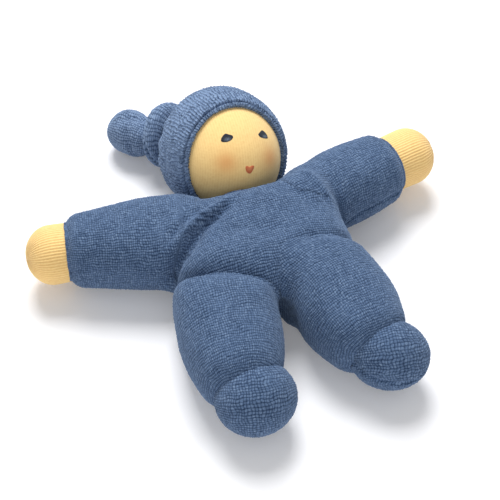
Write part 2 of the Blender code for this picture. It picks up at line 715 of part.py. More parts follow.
def make_neck(body, head, pivot):
    """Builds the neck, cupped under the head, and the thread that ties it."""
    start = body.neck_end() - head.neck_axis * NECK_DEPTH_IN_BODY
    neck = rod("neck", start, head.centre, NECK_WIDTH, NECK_WIDTH, HUB_AROUND)
    cup = [head.radius + GAP + JOINT_PLAY] * 3
    mouth_way = ball("mouth_way", head.centre, [half + GAP + STITCH_THICKNESS for half in cup], 0)
    mouth_x = (head.centre + head.way(MOUTH_RISE, 0) * head.radius).x
    half_way = MOUTH_WIDTH / 2 + GAP + JOINT_PLAY
    reach = HEAD_WIDTH
    carve(mouth_way, "INTERSECT", [block("mouth_slice", (mouth_x - half_way, head.centre.y - reach, 0),
                                         (mouth_x + half_way, head.centre.y, reach))])
    carve(neck, "DIFFERENCE", [ball("cup", head.centre, cup, 0, HEAD_AROUND, HEAD_ALONG), mouth_way])
    finished(neck, "skin_jersey", pivot)
    radius = NECK_WIDTH / 2 + GAP + THREAD_WIDTH / 2
    middle = body.neck_end() + head.neck_axis * (COLLAR_ROLL + THREAD_WIDTH / 2 + 2 * GAP)
    finished(thread_ring("neck_thread", middle, head.neck_axis, (radius, radius), THREAD_WIDTH, HUB_AROUND),
             "tying_thread", pivot)


def make_head(head, pivot):
    """Builds the head, its wool ball, the face and the cap."""
    skin = ball("head_skin", head.centre, [head.radius] * 3, 0, HEAD_AROUND, HEAD_ALONG)
    hollow = ball("hollow", head.centre, [head.radius - SKIN_WALL] * 3, 0, INNER_AROUND, INNER_ALONG)
    throat = rod("throat", head.centre, head.centre - head.neck_axis * HEAD_WIDTH, HEAD_THROAT_WIDTH,
                 HEAD_THROAT_WIDTH)
    carve(skin, "DIFFERENCE", [hollow, throat])
    finished(skin, "skin_jersey", pivot)
    wool_half = head.radius - SKIN_WALL - GAP
    wool = ball("head_filling", head.centre, [wool_half] * 3, 0, INNER_AROUND, INNER_ALONG)
    finished(wool, "wool_filling", pivot)
    for side_name, side in (("left", 1), ("right", -1)):
        eye = face_patch(side_name + "_eye", head, EYE_RISE, side * EYE_SPREAD, EYE_WIDTH, EYE_HEIGHT, 1)
        finished(eye, "eye_blue", pivot)
    mouth = face_patch("mouth", head, MOUTH_RISE, 0, MOUTH_WIDTH, MOUTH_HEIGHT, MOUTH_TOP_SHARE)
    finished(mouth, "mouth_red", pivot)
    make_cap(head, pivot)


def make_cap(head, pivot):
    """Builds the cap's crown and its rolled brim, both open round the neck."""
    neck_room = NECK_WIDTH + 2 * (THREAD_WIDTH + CAP_NECK_ROOM)
    far = head.centre - head.neck_axis * HEAD_WIDTH
    crown = ball("cap_crown", head.centre, [head.cap_radius] * 3, 0, HEAD_AROUND, HEAD_ALONG)
    stub = rod("knot_stub", head.centre + head.knot_way * head.radius, head.knot_pivot,
               KNOT_NECK_WIDTH + CAP_WALL * 2, KNOT_NECK_WIDTH)
    joint_ball = ball("knot_ball", head.knot_pivot, [KNOT_NECK_WIDTH / 2] * 3, 2, INNER_AROUND, INNER_ALONG)
    carve(crown, "UNION", [stub, joint_ball])
    inside = ball("inside", head.centre, [head.radius + GAP] * 3, 0, HEAD_AROUND, HEAD_ALONG)
    edge = BRIM_OPENING + BRIM_WIDTH / 2 * CROWN_TUCK_SHARE / head.cap_radius
    carve(crown, "DIFFERENCE", [inside, face_side_block("face_side", head, edge),
                                brim_ring("brim_cut", head, GAP),
                                rod("neck_room", head.centre, far, neck_room, neck_room), floor_block()])
    finished(crown, "cap_terry", pivot)
    brim = brim_ring("cap_brim", head, 0.0)
    carve(brim, "DIFFERENCE", [rod("neck_room", head.centre, far, neck_room, neck_room)])
    finished(brim, "cap_terry", pivot)


def make_knot(head, knot_pivot, tip_pivot):
    """Builds the knot in the cap's end and the tip that hangs from it."""
    half = head.knot_way * (KNOT_THICKNESS / 2)
    knot_form = StuffedForm(head.knot_centre - half, head.knot_centre + half, KNOT_WIDTH, KNOT_WIDTH,
                            blunt_start=BALL_BLUNTNESS, blunt_end=BALL_BLUNTNESS, flat_under=BALL_BLUNTNESS)
    tip_form = StuffedForm(head.tip_pivot - head.tip_way * TIP_NECK_LENGTH,
                           head.tip_pivot + head.tip_way * TIP_LENGTH, TIP_WIDTH, TIP_WIDTH,
                           TIP_WIDTH_SHARES, blunt_start=BALL_BLUNTNESS, blunt_end=BALL_BLUNTNESS,
                           flat_under=BALL_BLUNTNESS)
    knot = knot_form.make("cap_knot", 0.0, FORM_AROUND, INNER_ALONG + 1)
    play = GAP + JOINT_PLAY
    cup = ball("cup", head.knot_pivot, [KNOT_NECK_WIDTH / 2 + play] * 3, 2, INNER_AROUND, INNER_ALONG)
    tip_cup = ball("tip_cup", head.tip_pivot, [TIP_NECK_WIDTH / 2 + play] * 3, 2, INNER_AROUND, INNER_ALONG)
    swings = [turned(tip_form.make("tip_cut", play, INNER_AROUND, FORM_ALONG), head.tip_pivot, (0, 0, 1),
                     angle) for angle in (-TIP_SWING_ROOM, 0, TIP_SWING_ROOM)]
    carve(knot, "DIFFERENCE", [cup, tip_cup] + swings)
    finished(knot, "cap_terry", knot_pivot)
    tip = tip_form.make("cap_tip", 0.0, HUB_AROUND, FORM_ALONG)
    finished(tip, "cap_terry", tip_pivot)


def main():
    """Builds the doll."""
    clear_scene()
    body = Body()
    head = Head(body)
    limbs = {"left_arm": arm(1), "right_arm": arm(-1), "left_leg": leg(1), "right_leg": leg(-1)}
    root = pivot_empty("doll", (0, 0, 0))
    make_body(body, list(limbs.values()), head, root)
    for side_name in ("left", "right"):
        limb = limbs[side_name + "_arm"]
        shoulder = pivot_empty(side_name + "_shoulder", limb.pivot, root)
        wrist = pivot_empty(side_name + "_wrist", hand_middle(limb), shoulder)
        make_arm(side_name, limb, shoulder, wrist)
        limb = limbs[side_name + "_leg"]
        hip = pivot_empty(side_name + "_hip", limb.pivot, root)
        ankle = pivot_empty(side_name + "_ankle", foot_centre(limb), hip)
        make_leg(side_name, limb, hip, ankle)
    neck_pivot = pivot_empty("neck_turn", head.neck_base, root)
    head_pivot = pivot_empty("head_nod", head.centre, neck_pivot)
    make_neck(body, head, neck_pivot)
    make_head(head, head_pivot)
    knot_pivot = pivot_empty("knot_lift", head.knot_pivot, head_pivot)
    tip_pivot = pivot_empty("tip_swing", head.tip_pivot, knot_pivot)
    make_knot(head, knot_pivot, tip_pivot)


main()
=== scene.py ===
import logging
import math
from dataclasses import dataclass, field
from enum import Enum
from typing import Callable, Sequence

import bpy
import numpy as np
from mathutils import Matrix, Vector


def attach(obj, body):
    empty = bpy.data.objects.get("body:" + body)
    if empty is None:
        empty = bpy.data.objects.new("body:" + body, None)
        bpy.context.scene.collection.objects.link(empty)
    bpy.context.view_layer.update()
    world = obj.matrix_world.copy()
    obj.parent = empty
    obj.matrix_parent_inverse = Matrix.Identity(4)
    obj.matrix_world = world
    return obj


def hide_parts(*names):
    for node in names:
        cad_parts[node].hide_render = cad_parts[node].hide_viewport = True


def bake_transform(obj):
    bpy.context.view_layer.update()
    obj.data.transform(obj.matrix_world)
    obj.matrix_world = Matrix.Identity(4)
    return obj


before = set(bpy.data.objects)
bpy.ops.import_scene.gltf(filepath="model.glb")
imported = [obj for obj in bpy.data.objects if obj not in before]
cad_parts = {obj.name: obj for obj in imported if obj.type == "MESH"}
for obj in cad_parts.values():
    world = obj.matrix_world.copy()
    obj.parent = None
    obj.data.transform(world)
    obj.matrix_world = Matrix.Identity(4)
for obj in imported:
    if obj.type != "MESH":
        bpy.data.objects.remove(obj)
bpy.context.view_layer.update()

Array = np.ndarray
Shape = Callable[[np.ndarray], np.ndarray]
Point = tuple[float, float, float]
Colour = tuple[float, float, float, float]
Tilt = tuple[float, float, float, float]

LOG = logging.getLogger("doll")
MM = 0.001

# Camera, found from the photograph's outline of the doll
CAMERA_TURN = math.radians(-19.7)
CAMERA_RISE = math.radians(49.3)
CAMERA_TARGET = (-0.005, 0.012, 0.025)
CAMERA_DISTANCE = 1.0
CAMERA_SENSOR = 36.0
CAMERA_LENS = 116.64
CAMERA_CLIP = (0.01, 50.0)

# Floor and light, in metres
WHITE = (1, 1, 1, 1)
FLOOR_HALF = 3.0
FLOOR_COLOUR = (0.9, 0.9, 0.92, 1)
FLOOR_GLOW = 0.12
ROOM_STRENGTH = 0.43
LIGHT_TARGET = (0, 0.02, 0.02)
LIGHTS = (("key", (0.16, 0.88, 1.32), 0.85, 29.0), ("fill", (-0.5, -1.35, 0.6), 1.0, 6.5))

# Cloth, in millimetres
GRID_STEP = 0.46
BACK_STEP = 0.8
HAND_STEP = 0.42
HEAD_STEP = 0.5
ROW_PITCH = 1.7
LOOP_PITCH = 1.4
LOOP_HEIGHT = 0.75
RIB_PITCH = 1.75
FLOOR_LIFT = 0.12
CHIN_GAP = 0.8
CAP_OUT = 4.0
CAP_WALES = 112
UNDER = 0.35
OVER = 0.25

# How rays find a surface
LONG_REACH = 80.0
SHORT_REACH = 60.0
REACH_MARKS = 40
ROUGH_HALVINGS = 12
FINE_HALVINGS = 14
NEAR_HALVINGS = 11
NEAR_SLACK = 1.6
ROUGH_ROWS = 70
ROUGH_TURNS = 97
FULL_TURN = (0.0, math.tau)
POLE_TILT = 88.0


class Slot(Enum):
    """The record's material slots that the dressed pieces use."""

    SUIT = "suit_terry"
    CAP = "cap_terry"
    SKIN = "skin_jersey"
    THREAD = "tying_thread"
    EYE = "eye_blue"
    MOUTH = "mouth_red"


# Arrays and curves


def unit(vectors: Array) -> Array:
    """Scales vectors to length one; the last axis holds x, y and z."""
    return vectors / np.maximum(np.linalg.norm(vectors, axis=-1, keepdims=True), 1e-9)


def smooth_step(values: Array, low: float, high: float) -> Array:
    """Eases from 0 at low to 1 at high."""
    part = np.clip((values - low) / (high - low), 0, 1)
    return part * part * (3 - 2 * part)


def bell(values: Array, middle: float | Array, width: float) -> Array:
    """A soft hump, 1 at the middle and nearly 0 two widths away."""
    return np.exp(-((values - middle) / width) ** 2)


def curve_at(knots: Sequence[float], places: Array) -> Array:
    """Reads evenly spaced knots at places from 0 to 1 on a smooth curve.

    Args:
        knots: Values at even steps.
        places: Where to read, from 0 to 1.

    Returns:
        The values there, on a Catmull-Rom curve.
    """
    row = np.asarray(knots, float)
    spot = np.clip(places, 0, 1) * (len(row) - 1)
    low = np.minimum(spot.astype(int), len(row) - 2)
    part = spot - low
    padded = np.concatenate(([2 * row[0] - row[1]], row, [2 * row[-1] - row[-2]]))
    a, b, c, d = (padded[low + step] for step in range(4))
    return b + 0.5 * part * (c - a + part * (2 * a - 5 * b + 4 * c - d + part * (3 * (b - c) + d - a)))


def smooth_union(first: Array, second: Array, reach: float) -> Array:
    """Joins two fields with a fillet that is reach wide."""
    near = np.maximum(reach - np.abs(first - second), 0) / reach
    return np.minimum(first, second) - near * near * reach / 4


def smooth_cut(first: Array, second: Array, reach: float) -> Array:
    """Takes the second field out of the first with an edge that is reach wide."""
    return -smooth_union(-first, second, reach)


def waves(points: Array, seed: int, size: float, count: int = 5) -> Array:
    """Soft random lumps.

    Args:
        points: Places in millimetres.
        seed: Seed of the waves' directions.
        size: Size of a lump in millimetres.
        count: How many waves are summed.

    Returns:
        A value of about -1 to 1 at each place.
    """
    rng = np.random.default_rng(seed)
    total = np.zeros(points.shape[:-1])
    for _ in range(count):
        way = rng.normal(size=3)
        way *= math.tau / (size * rng.uniform(1.4, 2.6)) / np.linalg.norm(way)
        total += np.sin(points @ way + rng.uniform(0, math.tau))
    return total / math.sqrt(count)


def ring_round(way: Array, turns: Array) -> Array:
    """Directions square to a way, by their turns round it."""
    side = unit(np.cross(way, (0.0, 0.0, 1.0)))
    return np.cos(turns)[:, None] * side + np.sin(turns)[:, None] * np.cross(side, way)


# The shapes under the cloth. A field is about the distance from a surface, negative inside


@dataclass(frozen=True)
class Limb:
    """A stuffed limb along a straight axis, in millimetres, or by default its axis alone."""

    start: Point
    end: Point
    wide: tuple[float, ...] = (1.0, 1.0)
    high: tuple[float, ...] = (1.0, 1.0)
    root_cap: float = 1.0
    end_cap: float = 1.0
    squareness: float = 2.2
    blunt: float = 2.6
    root_blunt: float = 2.6
    lean: float = 0.0
    root_square: float = 0.0

    def axes(self) -> tuple[Array, Array, Array, float]:
        """Direction along the axis, to its side and up, and its length."""
        span = np.subtract(self.end, self.start)
        length = float(np.linalg.norm(span))
        along = span / length
        side = unit(np.cross((0.0, 0.0, 1.0), along))
        return along, side, np.cross(along, side), length

    def field(self, points: Array) -> Array:
        """The limb's field.

        Args:
            points: Places in millimetres.

        Returns:
            The field there.
        """
        along, side, up, length = self.axes()
        offset = points - np.asarray(self.start)
        place = offset @ along
        wide, high = curve_at(self.wide, place / length), curve_at(self.high, place / length)
        over = np.maximum(place - (length - self.end_cap), 0) / self.end_cap
        under = np.maximum(self.root_cap - place - self.lean * (offset @ side), 0) / self.root_cap
        across, rise = np.abs(offset @ side) / wide, np.abs(offset @ up) / high
        square = self.squareness + self.root_square * smooth_step(-place, -34.0, -6.0)
        round_part = (across ** square + rise ** square) ** (1 / square)
        power = np.where(under > over, self.root_blunt, self.blunt)
        capped = (round_part ** power + np.maximum(over, under) ** power) ** (1 / power)
        return (capped - 1) * np.minimum(wide, high)


@dataclass(frozen=True)
class Pillow:
    """The stuffed body, a cushion with fully rounded sides, in millimetres."""

    centre: Point
    half: Point
    edge: float

    def field(self, points: Array) -> Array:
        """The cushion's field at places in millimetres."""
        offset = np.abs(points - np.asarray(self.centre)) - (np.asarray(self.half) - self.edge)
        outside = np.linalg.norm(np.maximum(offset, 0), axis=-1)
        return outside + np.minimum(offset.max(axis=-1), 0) - self.edge


@dataclass(frozen=True)
class Ball:
    """A stuffed ball, in millimetres, turned about the way up."""

    centre: Point
    half: Point
    turn: float = 0.0

    def field(self, points: Array) -> Array:
        """The ball's field at places in millimetres."""
        cosine, sine = math.cos(self.turn), math.sin(self.turn)
        turned = np.array(((cosine, sine, 0.0), (-sine, cosine, 0.0), (0.0, 0.0, 1.0)))
        offset = (points - np.asarray(self.centre)) @ turned.T / np.asarray(self.half)
        return (np.linalg.norm(offset, axis=-1) - 1) * min(self.half)


@dataclass(frozen=True)
class Crease:
    """A fold or a seam in millimetres, along a line in space or one seen from straight above.

    It fades towards the ends of the line and over the 12 mm above its low level.
    """

    points: tuple[tuple[float, ...], ...]
    depth: float
    width: float
    low: float = 18.0

    def offset(self, points: Array) -> Array:
        """How far the fold pushes the surface out, negative for a valley.

        Args:
            points: Places in millimetres.

        Returns:
            The push there.
        """
        best = np.full(points.shape[:-1], 1e9)
        fade = np.ones(points.shape[:-1])
        spots = points[..., :len(self.points[0])]
        for index, (a, b) in enumerate(zip(self.points[:-1], self.points[1:])):
            start, span = np.asarray(a), np.subtract(b, a)
            share = np.clip(((spots - start) @ span) / (span @ span), 0, 1)
            gap = np.linalg.norm(spots - start - share[..., None] * span, axis=-1)
            whole = (index + share) / (len(self.points) - 1)
            closer = gap < best
            best = np.where(closer, gap, best)
            fade = np.where(closer, np.sin(math.pi * np.clip(whole, 0.02, 0.98)) ** 0.45, fade)
        return self.depth * fade * smooth_step(points[..., 2], self.low, self.low + 12) * bell(best, 0.0, self.width)


BODY = Pillow((0.0, 7.3, 28.0), (55.0, 42.8, 27.8), 27.0)
LEFT_ARM = Limb((31.0, 33.4, 25.8), (106.6, 50.4, 25.8), (14.0, 19.4, 23.6, 24.2, 22.8, 20.8),
                (23.5, 24.4, 24.6, 23.8, 22.6, 20.8), 14.0, 12.0, 2.2, 2.3)
RIGHT_ARM = Limb((-31.0, 31.0, 25.8), (-114.6, 48.4, 25.8), (25.0, 29.2, 29.4, 26.2, 22.8, 20.6),
                 (24.0, 24.8, 24.6, 24.0, 22.8, 21.0), 15.0, 12.0, 2.2, 2.3)
LEG_HIGH = (28.0, 28.6, 28.2, 26.8, 24.8, 21.5)
LEFT_LEG = Limb((27.2, -13.0, 26.5), (39.4, -91.0, 26.0), (25.0, 27.8, 30.2, 29.8, 25.4, 21.0), LEG_HIGH,
                13.0, 18.0, 2.3, 2.6, 3.6, -0.3, 0.6)
RIGHT_LEG = Limb((-34.8, -20.0, 26.5), (-45.1, -93.0, 26.0), (29.4, 30.0, 30.6, 28.8, 24.8, 21.0), LEG_HIGH,
                 13.0, 18.0, 2.3, 2.6, 4.0, -0.22, 1.0)
LEFT_FOOT = Ball((44.8, -90.3, 23.6), (24.3, 20.7, 21.4), math.radians(-30.0))
RIGHT_FOOT = Ball((-39.1, -93.7, 23.6), (24.1, 22.0, 22.0))
HAND_GIRTH = (17.6, 18.0, 18.4, 18.4, 17.6)
LEFT_HAND = Limb((96.0, 49.2, 24.6), (134.5, 56.4, 24.6), HAND_GIRTH, HAND_GIRTH, 8.0, 17.0, 2.0, 2.1)
RIGHT_HAND = Limb((-100.0, 47.2, 24.6), (-137.0, 51.6, 24.6), HAND_GIRTH, HAND_GIRTH, 8.0, 17.0, 2.0, 2.1)
HOLLOW = Ball((-1.5, -44.3, 12.5), (6.4, 18.0, 24.0))
GUSSET = Ball((-3.0, -32.0, 17.0), (15.0, 11.0, 16.0))
CHEEKS = Ball((4.2, 92.2, 36.0), (34.5, 34.6, 34.6))
JAW = Ball((3.8, 81.6, 34.6), (34.8, 34.4, 34.4))
CREASES = (
    Crease(((-18.0, 45.5), (0.0, 48.0), (16.0, 47.5), (30.0, 44.5), (46.0, 43.0)), -2.4, 6.5),
    Crease(((-12.0, 28.0), (-22.9, 22.3), (-34.1, 16.2), (-46.3, 7.0), (-64.0, 2.0)), -7.0, 4.4),
    Crease(((-8.0, 34.5), (-19.6, 28.5), (-27.6, 25.2), (-38.4, 20.0), (-50.0, 14.5)), 3.2, 2.9),
    Crease(((-18.0, 35.0), (-31.4, 27.8), (-43.6, 22.3), (-56.0, 16.0)), -2.0, 3.2),
    Crease(((36.0, 42.0), (41.6, 34.0), (45.6, 24.0), (49.0, 14.0), (53.6, 4.0)), 1.5, 3.4),
    Crease(((24.0, 34.0), (29.5, 23.0), (33.3, 12.0), (35.1, -3.5)), -1.7, 4.6),
    Crease(((54.0, 34.0), (54.6, 25.4), (54.5, 15.7), (56.5, 4.0)), -2.6, 4.0),
    Crease(((56.0, 14.0, 21.5), (63.0, 16.1, 22.3), (73.3, 18.1, 25.6), (86.9, 21.5, 25.4), (103.3, 28.1, 23.6),
            (108.0, 30.0, 23.4)), -2.3, 1.5, -20.0),
    Crease(((0.0, -46.0, 27.0), (3.6, -57.9, 28.3), (6.5, -67.5, 30.2), (10.8, -76.5, 30.8), (14.8, -83.2, 31.4),
            (19.5, -88.0, 30.3)), -2.4, 1.4, -20.0),
)
SOLE_SEAM = Crease(((20.0, -80.0, 27.5), (21.8, -88.3, 27.7), (22.8, -94.2, 26.2), (25.9, -100.4, 25.7),
                    (32.2, -106.8, 24.4), (42.6, -111.3, 23.0), (54.2, -111.0, 21.1), (61.8, -107.1, 23.1),
                    (68.0, -100.0, 24.0)), -2.7, 1.35, -20.0)
FOLDS = (
    Crease(((-68.0, -9.0), (-56.0, -14.0), (-44.0, -18.0), (-34.0, -20.5), (-23.0, -23.5), (-12.0, -31.0)),
           -3.0, 6.0),
    Crease(((2.0, -27.0), (9.0, -20.0), (20.0, -16.0), (32.0, -14.0), (44.0, -16.0), (60.0, -18.0)), -3.0, 5.6),
    Crease(((-50.0, -3.0), (-38.0, -7.0), (-24.0, -6.0), (-8.0, 2.0)), 1.8, 7.0),
    Crease(((-22.0, 10.0), (-10.0, 4.0), (4.0, -2.0), (16.0, -2.0)), -1.5, 6.0),
)


def suit_field(points: Array) -> Array:
    """The whole suit: the body, hollowed for the chin and folded, and joined with its limbs.

    Args:
        points: Places in millimetres.

    Returns:
        The field, with fillets at the shoulders and tight creases at the hips.
    """
    total = smooth_union(BODY.field(points), GUSSET.field(points), 6.0)
    total = smooth_cut(total, JAW.field(points) - CHIN_GAP, 2.5)
    for crease in FOLDS:
        total = total - crease.offset(points)
    for arm in (LEFT_ARM, RIGHT_ARM):
        total = smooth_union(total, arm.field(points), 17.0)
    for crease in CREASES:
        total = total - crease.offset(points)
    legs = smooth_union(LEFT_LEG.field(points), RIGHT_LEG.field(points), 3.0)
    return smooth_cut(smooth_union(total, legs, 6.5), HOLLOW.field(points), 2.0)


def under_field(points: Array) -> Array:
    """The suit near the body, a little under the limbs' cloth, which it runs down in to."""
    return np.maximum(suit_field(points) + UNDER, BODY.field(points) - 6.0)


def cover(limb: Limb, margin: float) -> Shape:
    """The suit near a limb, which runs down in to the body where the limb's cloth ends.

    Args:
        limb: The limb that the cloth covers.
        margin: How far off the limb the cloth follows the suit, in millimetres.

    Returns:
        The field.
    """
    def shape(points: Array) -> Array:
        """The limb's cover at places in millimetres."""
        return np.maximum(suit_field(points) - OVER, limb.field(points) - margin)

    return shape


def head_field(points: Array) -> Array:
    """The head, a full ball that runs down in to the collar."""
    return smooth_union(CHEEKS.field(points), JAW.field(points), 6.0)


def cap_field(points: Array) -> Array:
    """The cap over the head."""
    return head_field(points) - CAP_OUT


def halve(shape: Shape, starts: Array, ways: Array, low: Array, high: Array, steps: int) -> Array:
    """Finds a surface between two distances along each ray.

    Args:
        shape: Field, negative inside.
        starts: Where the rays start.
        ways: Their directions.
        low: A distance at which each ray is inside.
        high: A distance at which it is outside.
        steps: How many times the way between them is halved.

    Returns:
        The places on the surface.
    """
    for _ in range(steps):
        middle = (low + high) / 2
        inside = shape(starts + ways * middle[..., None]) < 0
        low = np.where(inside, middle, low)
        high = np.where(inside, high, middle)
    return starts + ways * ((low + high) / 2)[..., None]


def cast(shape: Shape, starts: Array, ways: Array, reach: float, steps: int) -> Array:
    """Walks out from inside a shape to the first surface on each ray.

    Args:
        shape: Field, negative inside.
        starts: Places inside, or one for all rays.
        ways: Directions.
        reach: Longest way out in millimetres.
        steps: How many times the way is halved at last.

    Returns:
        The places on the surface.
    """
    low = np.zeros(ways.shape[:-1])
    high = np.full(ways.shape[:-1], reach)
    found = np.zeros(ways.shape[:-1], bool)
    for mark in np.linspace(0, reach, REACH_MARKS + 1)[1:]:
        outside = shape(starts + ways * mark) > 0
        fresh = outside & ~found
        high = np.where(fresh, mark, high)
        low = np.where(fresh, mark - reach / REACH_MARKS, low)
        found |= outside
    return halve(shape, starts, ways, low, high, steps)


def run_length(points: Array) -> Array:
    """Distance so far along each line of points; the last but one axis runs along it."""
    steps = np.linalg.norm(np.diff(points, axis=-2), axis=-1)
    return np.concatenate((np.zeros(steps.shape[:-1] + (1,)), np.cumsum(steps, axis=-1)), axis=-1)


# Cloth


@dataclass
class Cloth:
    """A grid of places, where each lies across the rows and along them, and what it is marked with.

    A closed cloth's last column is joined to its first.
    """

    points: Array
    across: Array
    along: Array
    closed: bool
    marks: dict[str, Array] = field(default_factory=dict)

    def normals(self) -> Array:
        """Directions square to the grid, found from its neighbours."""
        if self.closed:
            around = np.roll(self.points, -1, axis=1) - np.roll(self.points, 1, axis=1)
        else:
            around = np.gradient(self.points, axis=1)
        return unit(np.cross(np.gradient(self.points, axis=0), around))

    def longer(self, added: Array, before: bool = False) -> "Cloth":
        """Adds rows of places that carry what the last row, or the first, carries.

        Args:
            added: The rows' places.
            before: Whether they come before the first row.

        Returns:
            The longer cloth.
        """
        def join(old: Array, new: Array) -> Array:
            """Puts the new rows before or after the old."""
            return np.concatenate((new, old) if before else (old, new))

        def carried(values: Array) -> Array:
            """Repeats the first or the last row for the new ones."""
            return join(values, np.repeat(values[:1] if before else values[-1:], len(added), axis=0))

        marks = {key: carried(values) for key, values in self.marks.items()}
        return Cloth(join(self.points, added), carried(self.across), carried(self.along), self.closed, marks)


def scatter(rows: Array, columns: Array, seed: int) -> Array:
    """A random number from 0 to 1 for each loop, the same on each run."""
    mixed = np.sin(rows * 127.1 + columns * 311.7 + seed * 74.7) * 43758.5453
    return mixed - np.floor(mixed)


def terry(cloth: Cloth, seed: int, height: float = LOOP_HEIGHT, rows: float = ROW_PITCH,
          loops: float = LOOP_PITCH, outward: int = -1, strand: float = 0.06) -> None:
    """Raises rows of small loops on a grid and marks its rows, its loops and how far they run together.

    Args:
        cloth: The grid, changed in place.
        seed: Seed of the loops' differences.
        height: Height of a loop in millimetres.
        rows: Pitch of the rows in millimetres.
        loops: Pitch of the loops along a row in millimetres.
        outward: 1 or -1, the side that the loops stand on.
        strand: How far the loops of a row run together, from 0 to 1.
    """
    wander = waves(cloth.points, seed + 11, 9.0)
    drift = waves(cloth.points, seed + 12, 4.0)
    line = cloth.across / rows + 0.26 * wander + 0.16 * drift
    turn = cloth.along / loops + 0.30 * drift
    row, column = np.floor(line), np.floor(turn)
    ridge = np.clip(1 - (2 * (line - row - 0.5)) ** 2, 0, 1)
    bead = np.clip(1 - (1.9 * (turn - column - 0.5)) ** 2, 0, 1)
    dome = np.sqrt(ridge) * (strand + (1 - strand) * np.sqrt(bead)) * (0.5 + 0.5 * scatter(row, column, seed))
    cloth.marks.update(row=line, loop=turn, strand=np.full(line.shape, strand))
    cloth.points = cloth.points + cloth.normals() * (outward * (dome - 0.45) * height)[..., None]


def ribbed(cloth: Cloth, height: float | Array, outward: int = -1) -> None:
    """Raises fine jersey ribs along the rows and marks them.

    Args:
        cloth: The grid, changed in place.
        height: Height of a rib in millimetres.
        outward: 1 or -1, the side that the ribs stand on.
    """
    line = cloth.across / RIB_PITCH + 0.05 * waves(cloth.points, 31, 7.0)
    rib = 0.5 + 0.5 * np.cos(math.tau * line)
    # The pile mark is the rib's height; the jersey's colour uses it to paint shade in the grooves.
    cloth.marks.update(pile=rib, tone=scatter(np.floor(line), np.floor(cloth.along / 0.9), 7),
                       blush=np.zeros(line.shape))
    cloth.points = cloth.points + cloth.normals() * (outward * (rib - 0.5) * height)[..., None]


def swapped(cloth: Cloth) -> Cloth:
    """Turns the cloth's knit by a quarter, so that its rows run along the limb and meet round it."""
    girth = float(cloth.along.max()) * (1 + 1 / max(1, cloth.along.shape[1] - 1))
    pitch = ROW_PITCH * round(girth / ROW_PITCH) / girth if cloth.closed else 1.0
    return Cloth(cloth.points, cloth.along * pitch, cloth.across, cloth.closed, cloth.marks)


def closed_in(cloth: Cloth, first: Sequence[float] | None, last: Sequence[float] | None,
              steps: int = 4) -> Cloth:
    """Draws a grid's first and last rows in to points, so that the cloth is closed.

    Args:
        cloth: The grid.
        first: Where the first row is drawn in to, if it is.
        last: Where the last row is drawn in to, if it is.
        steps: Rows added at each end.

    Returns:
        The longer grid.
    """
    shares = (np.arange(1, steps + 1) / steps)[:, None, None]
    if first is not None:
        cloth = cloth.longer((cloth.points[:1] * (1 - shares) + np.asarray(first) * shares)[::-1], True)
    if last is not None:
        cloth = cloth.longer(cloth.points[-1:] * (1 - shares) + np.asarray(last) * shares)
    return cloth


def tube_end(cloth: Cloth, centre: Array, way: Array, radius: float, depth: float, steps: int = 10) -> Cloth:
    """Turns the last row of a grid inward as a tube that ends in a disc.

    Args:
        cloth: The grid.
        centre: Where the tube's mouth is centred.
        way: Direction out of the mouth.
        radius: The tube's radius in millimetres.
        depth: How deep the tube goes.
        steps: Rows along the tube.

    Returns:
        The longer grid.
    """
    offset = cloth.points[-1] - centre
    out = (offset @ way)[:, None] * way
    ring = unit(offset - out) * radius
    rows = [centre + ring + out * (1 - share) - way * depth * share ** 1.3
            for share in np.arange(1, steps + 1) / steps]
    return closed_in(cloth.longer(np.stack(rows)), None, centre - way * depth)


def cup_end(cloth: Cloth, ball: Ball, gap: float, steps: int = 14) -> Cloth:
    """Turns the last row of a grid inward over a ball that sits in its end.

    Args:
        cloth: The grid.
        ball: The ball.
        gap: How far off the ball the cup lies, in millimetres.
        steps: Rows of the cup.

    Returns:
        The longer grid.
    """
    centre = np.asarray(ball.centre)
    edge = cloth.points[-1] - centre
    ways = unit(edge)
    pole = unit(ways.mean(axis=0))
    rows = []
    for share in np.arange(1, steps + 1) / steps:
        near = min(1, share * 3)
        reach = np.linalg.norm(edge, axis=-1)[:, None] * (1 - near) + (ball.half[2] + gap) * near
        rows.append(centre + unit(ways * (1 - share) + pole * share) * reach)
    return cloth.longer(np.stack(rows))


def roll(centre: Array, way: Array, sizes: Point, counts: tuple[int, int], knit: tuple[float, float]) -> Cloth:
    """Makes a thin closed ring round an axis, such as a rolled edge or a thread.

    Args:
        centre: A place on the axis.
        way: The axis's direction.
        sizes: How far along the axis the ring lies, its radius and half its thickness, in millimetres.
        counts: Points round the axis and round the thickness.
        knit: Millimetres of cloth to a radian round the axis and round the thickness.

    Returns:
        The ring.
    """
    place, radius, thick = sizes
    turns = np.linspace(0, math.tau, counts[0], endpoint=False)
    bends = np.linspace(0, math.tau, counts[1])[:, None]
    points = (centre + way * (place + thick * np.sin(bends))[..., None]
              + ring_round(way, turns) * (radius + thick * np.cos(bends))[..., None])
    return Cloth(points, *np.broadcast_arrays(turns * knit[0], bends * knit[1]), True)


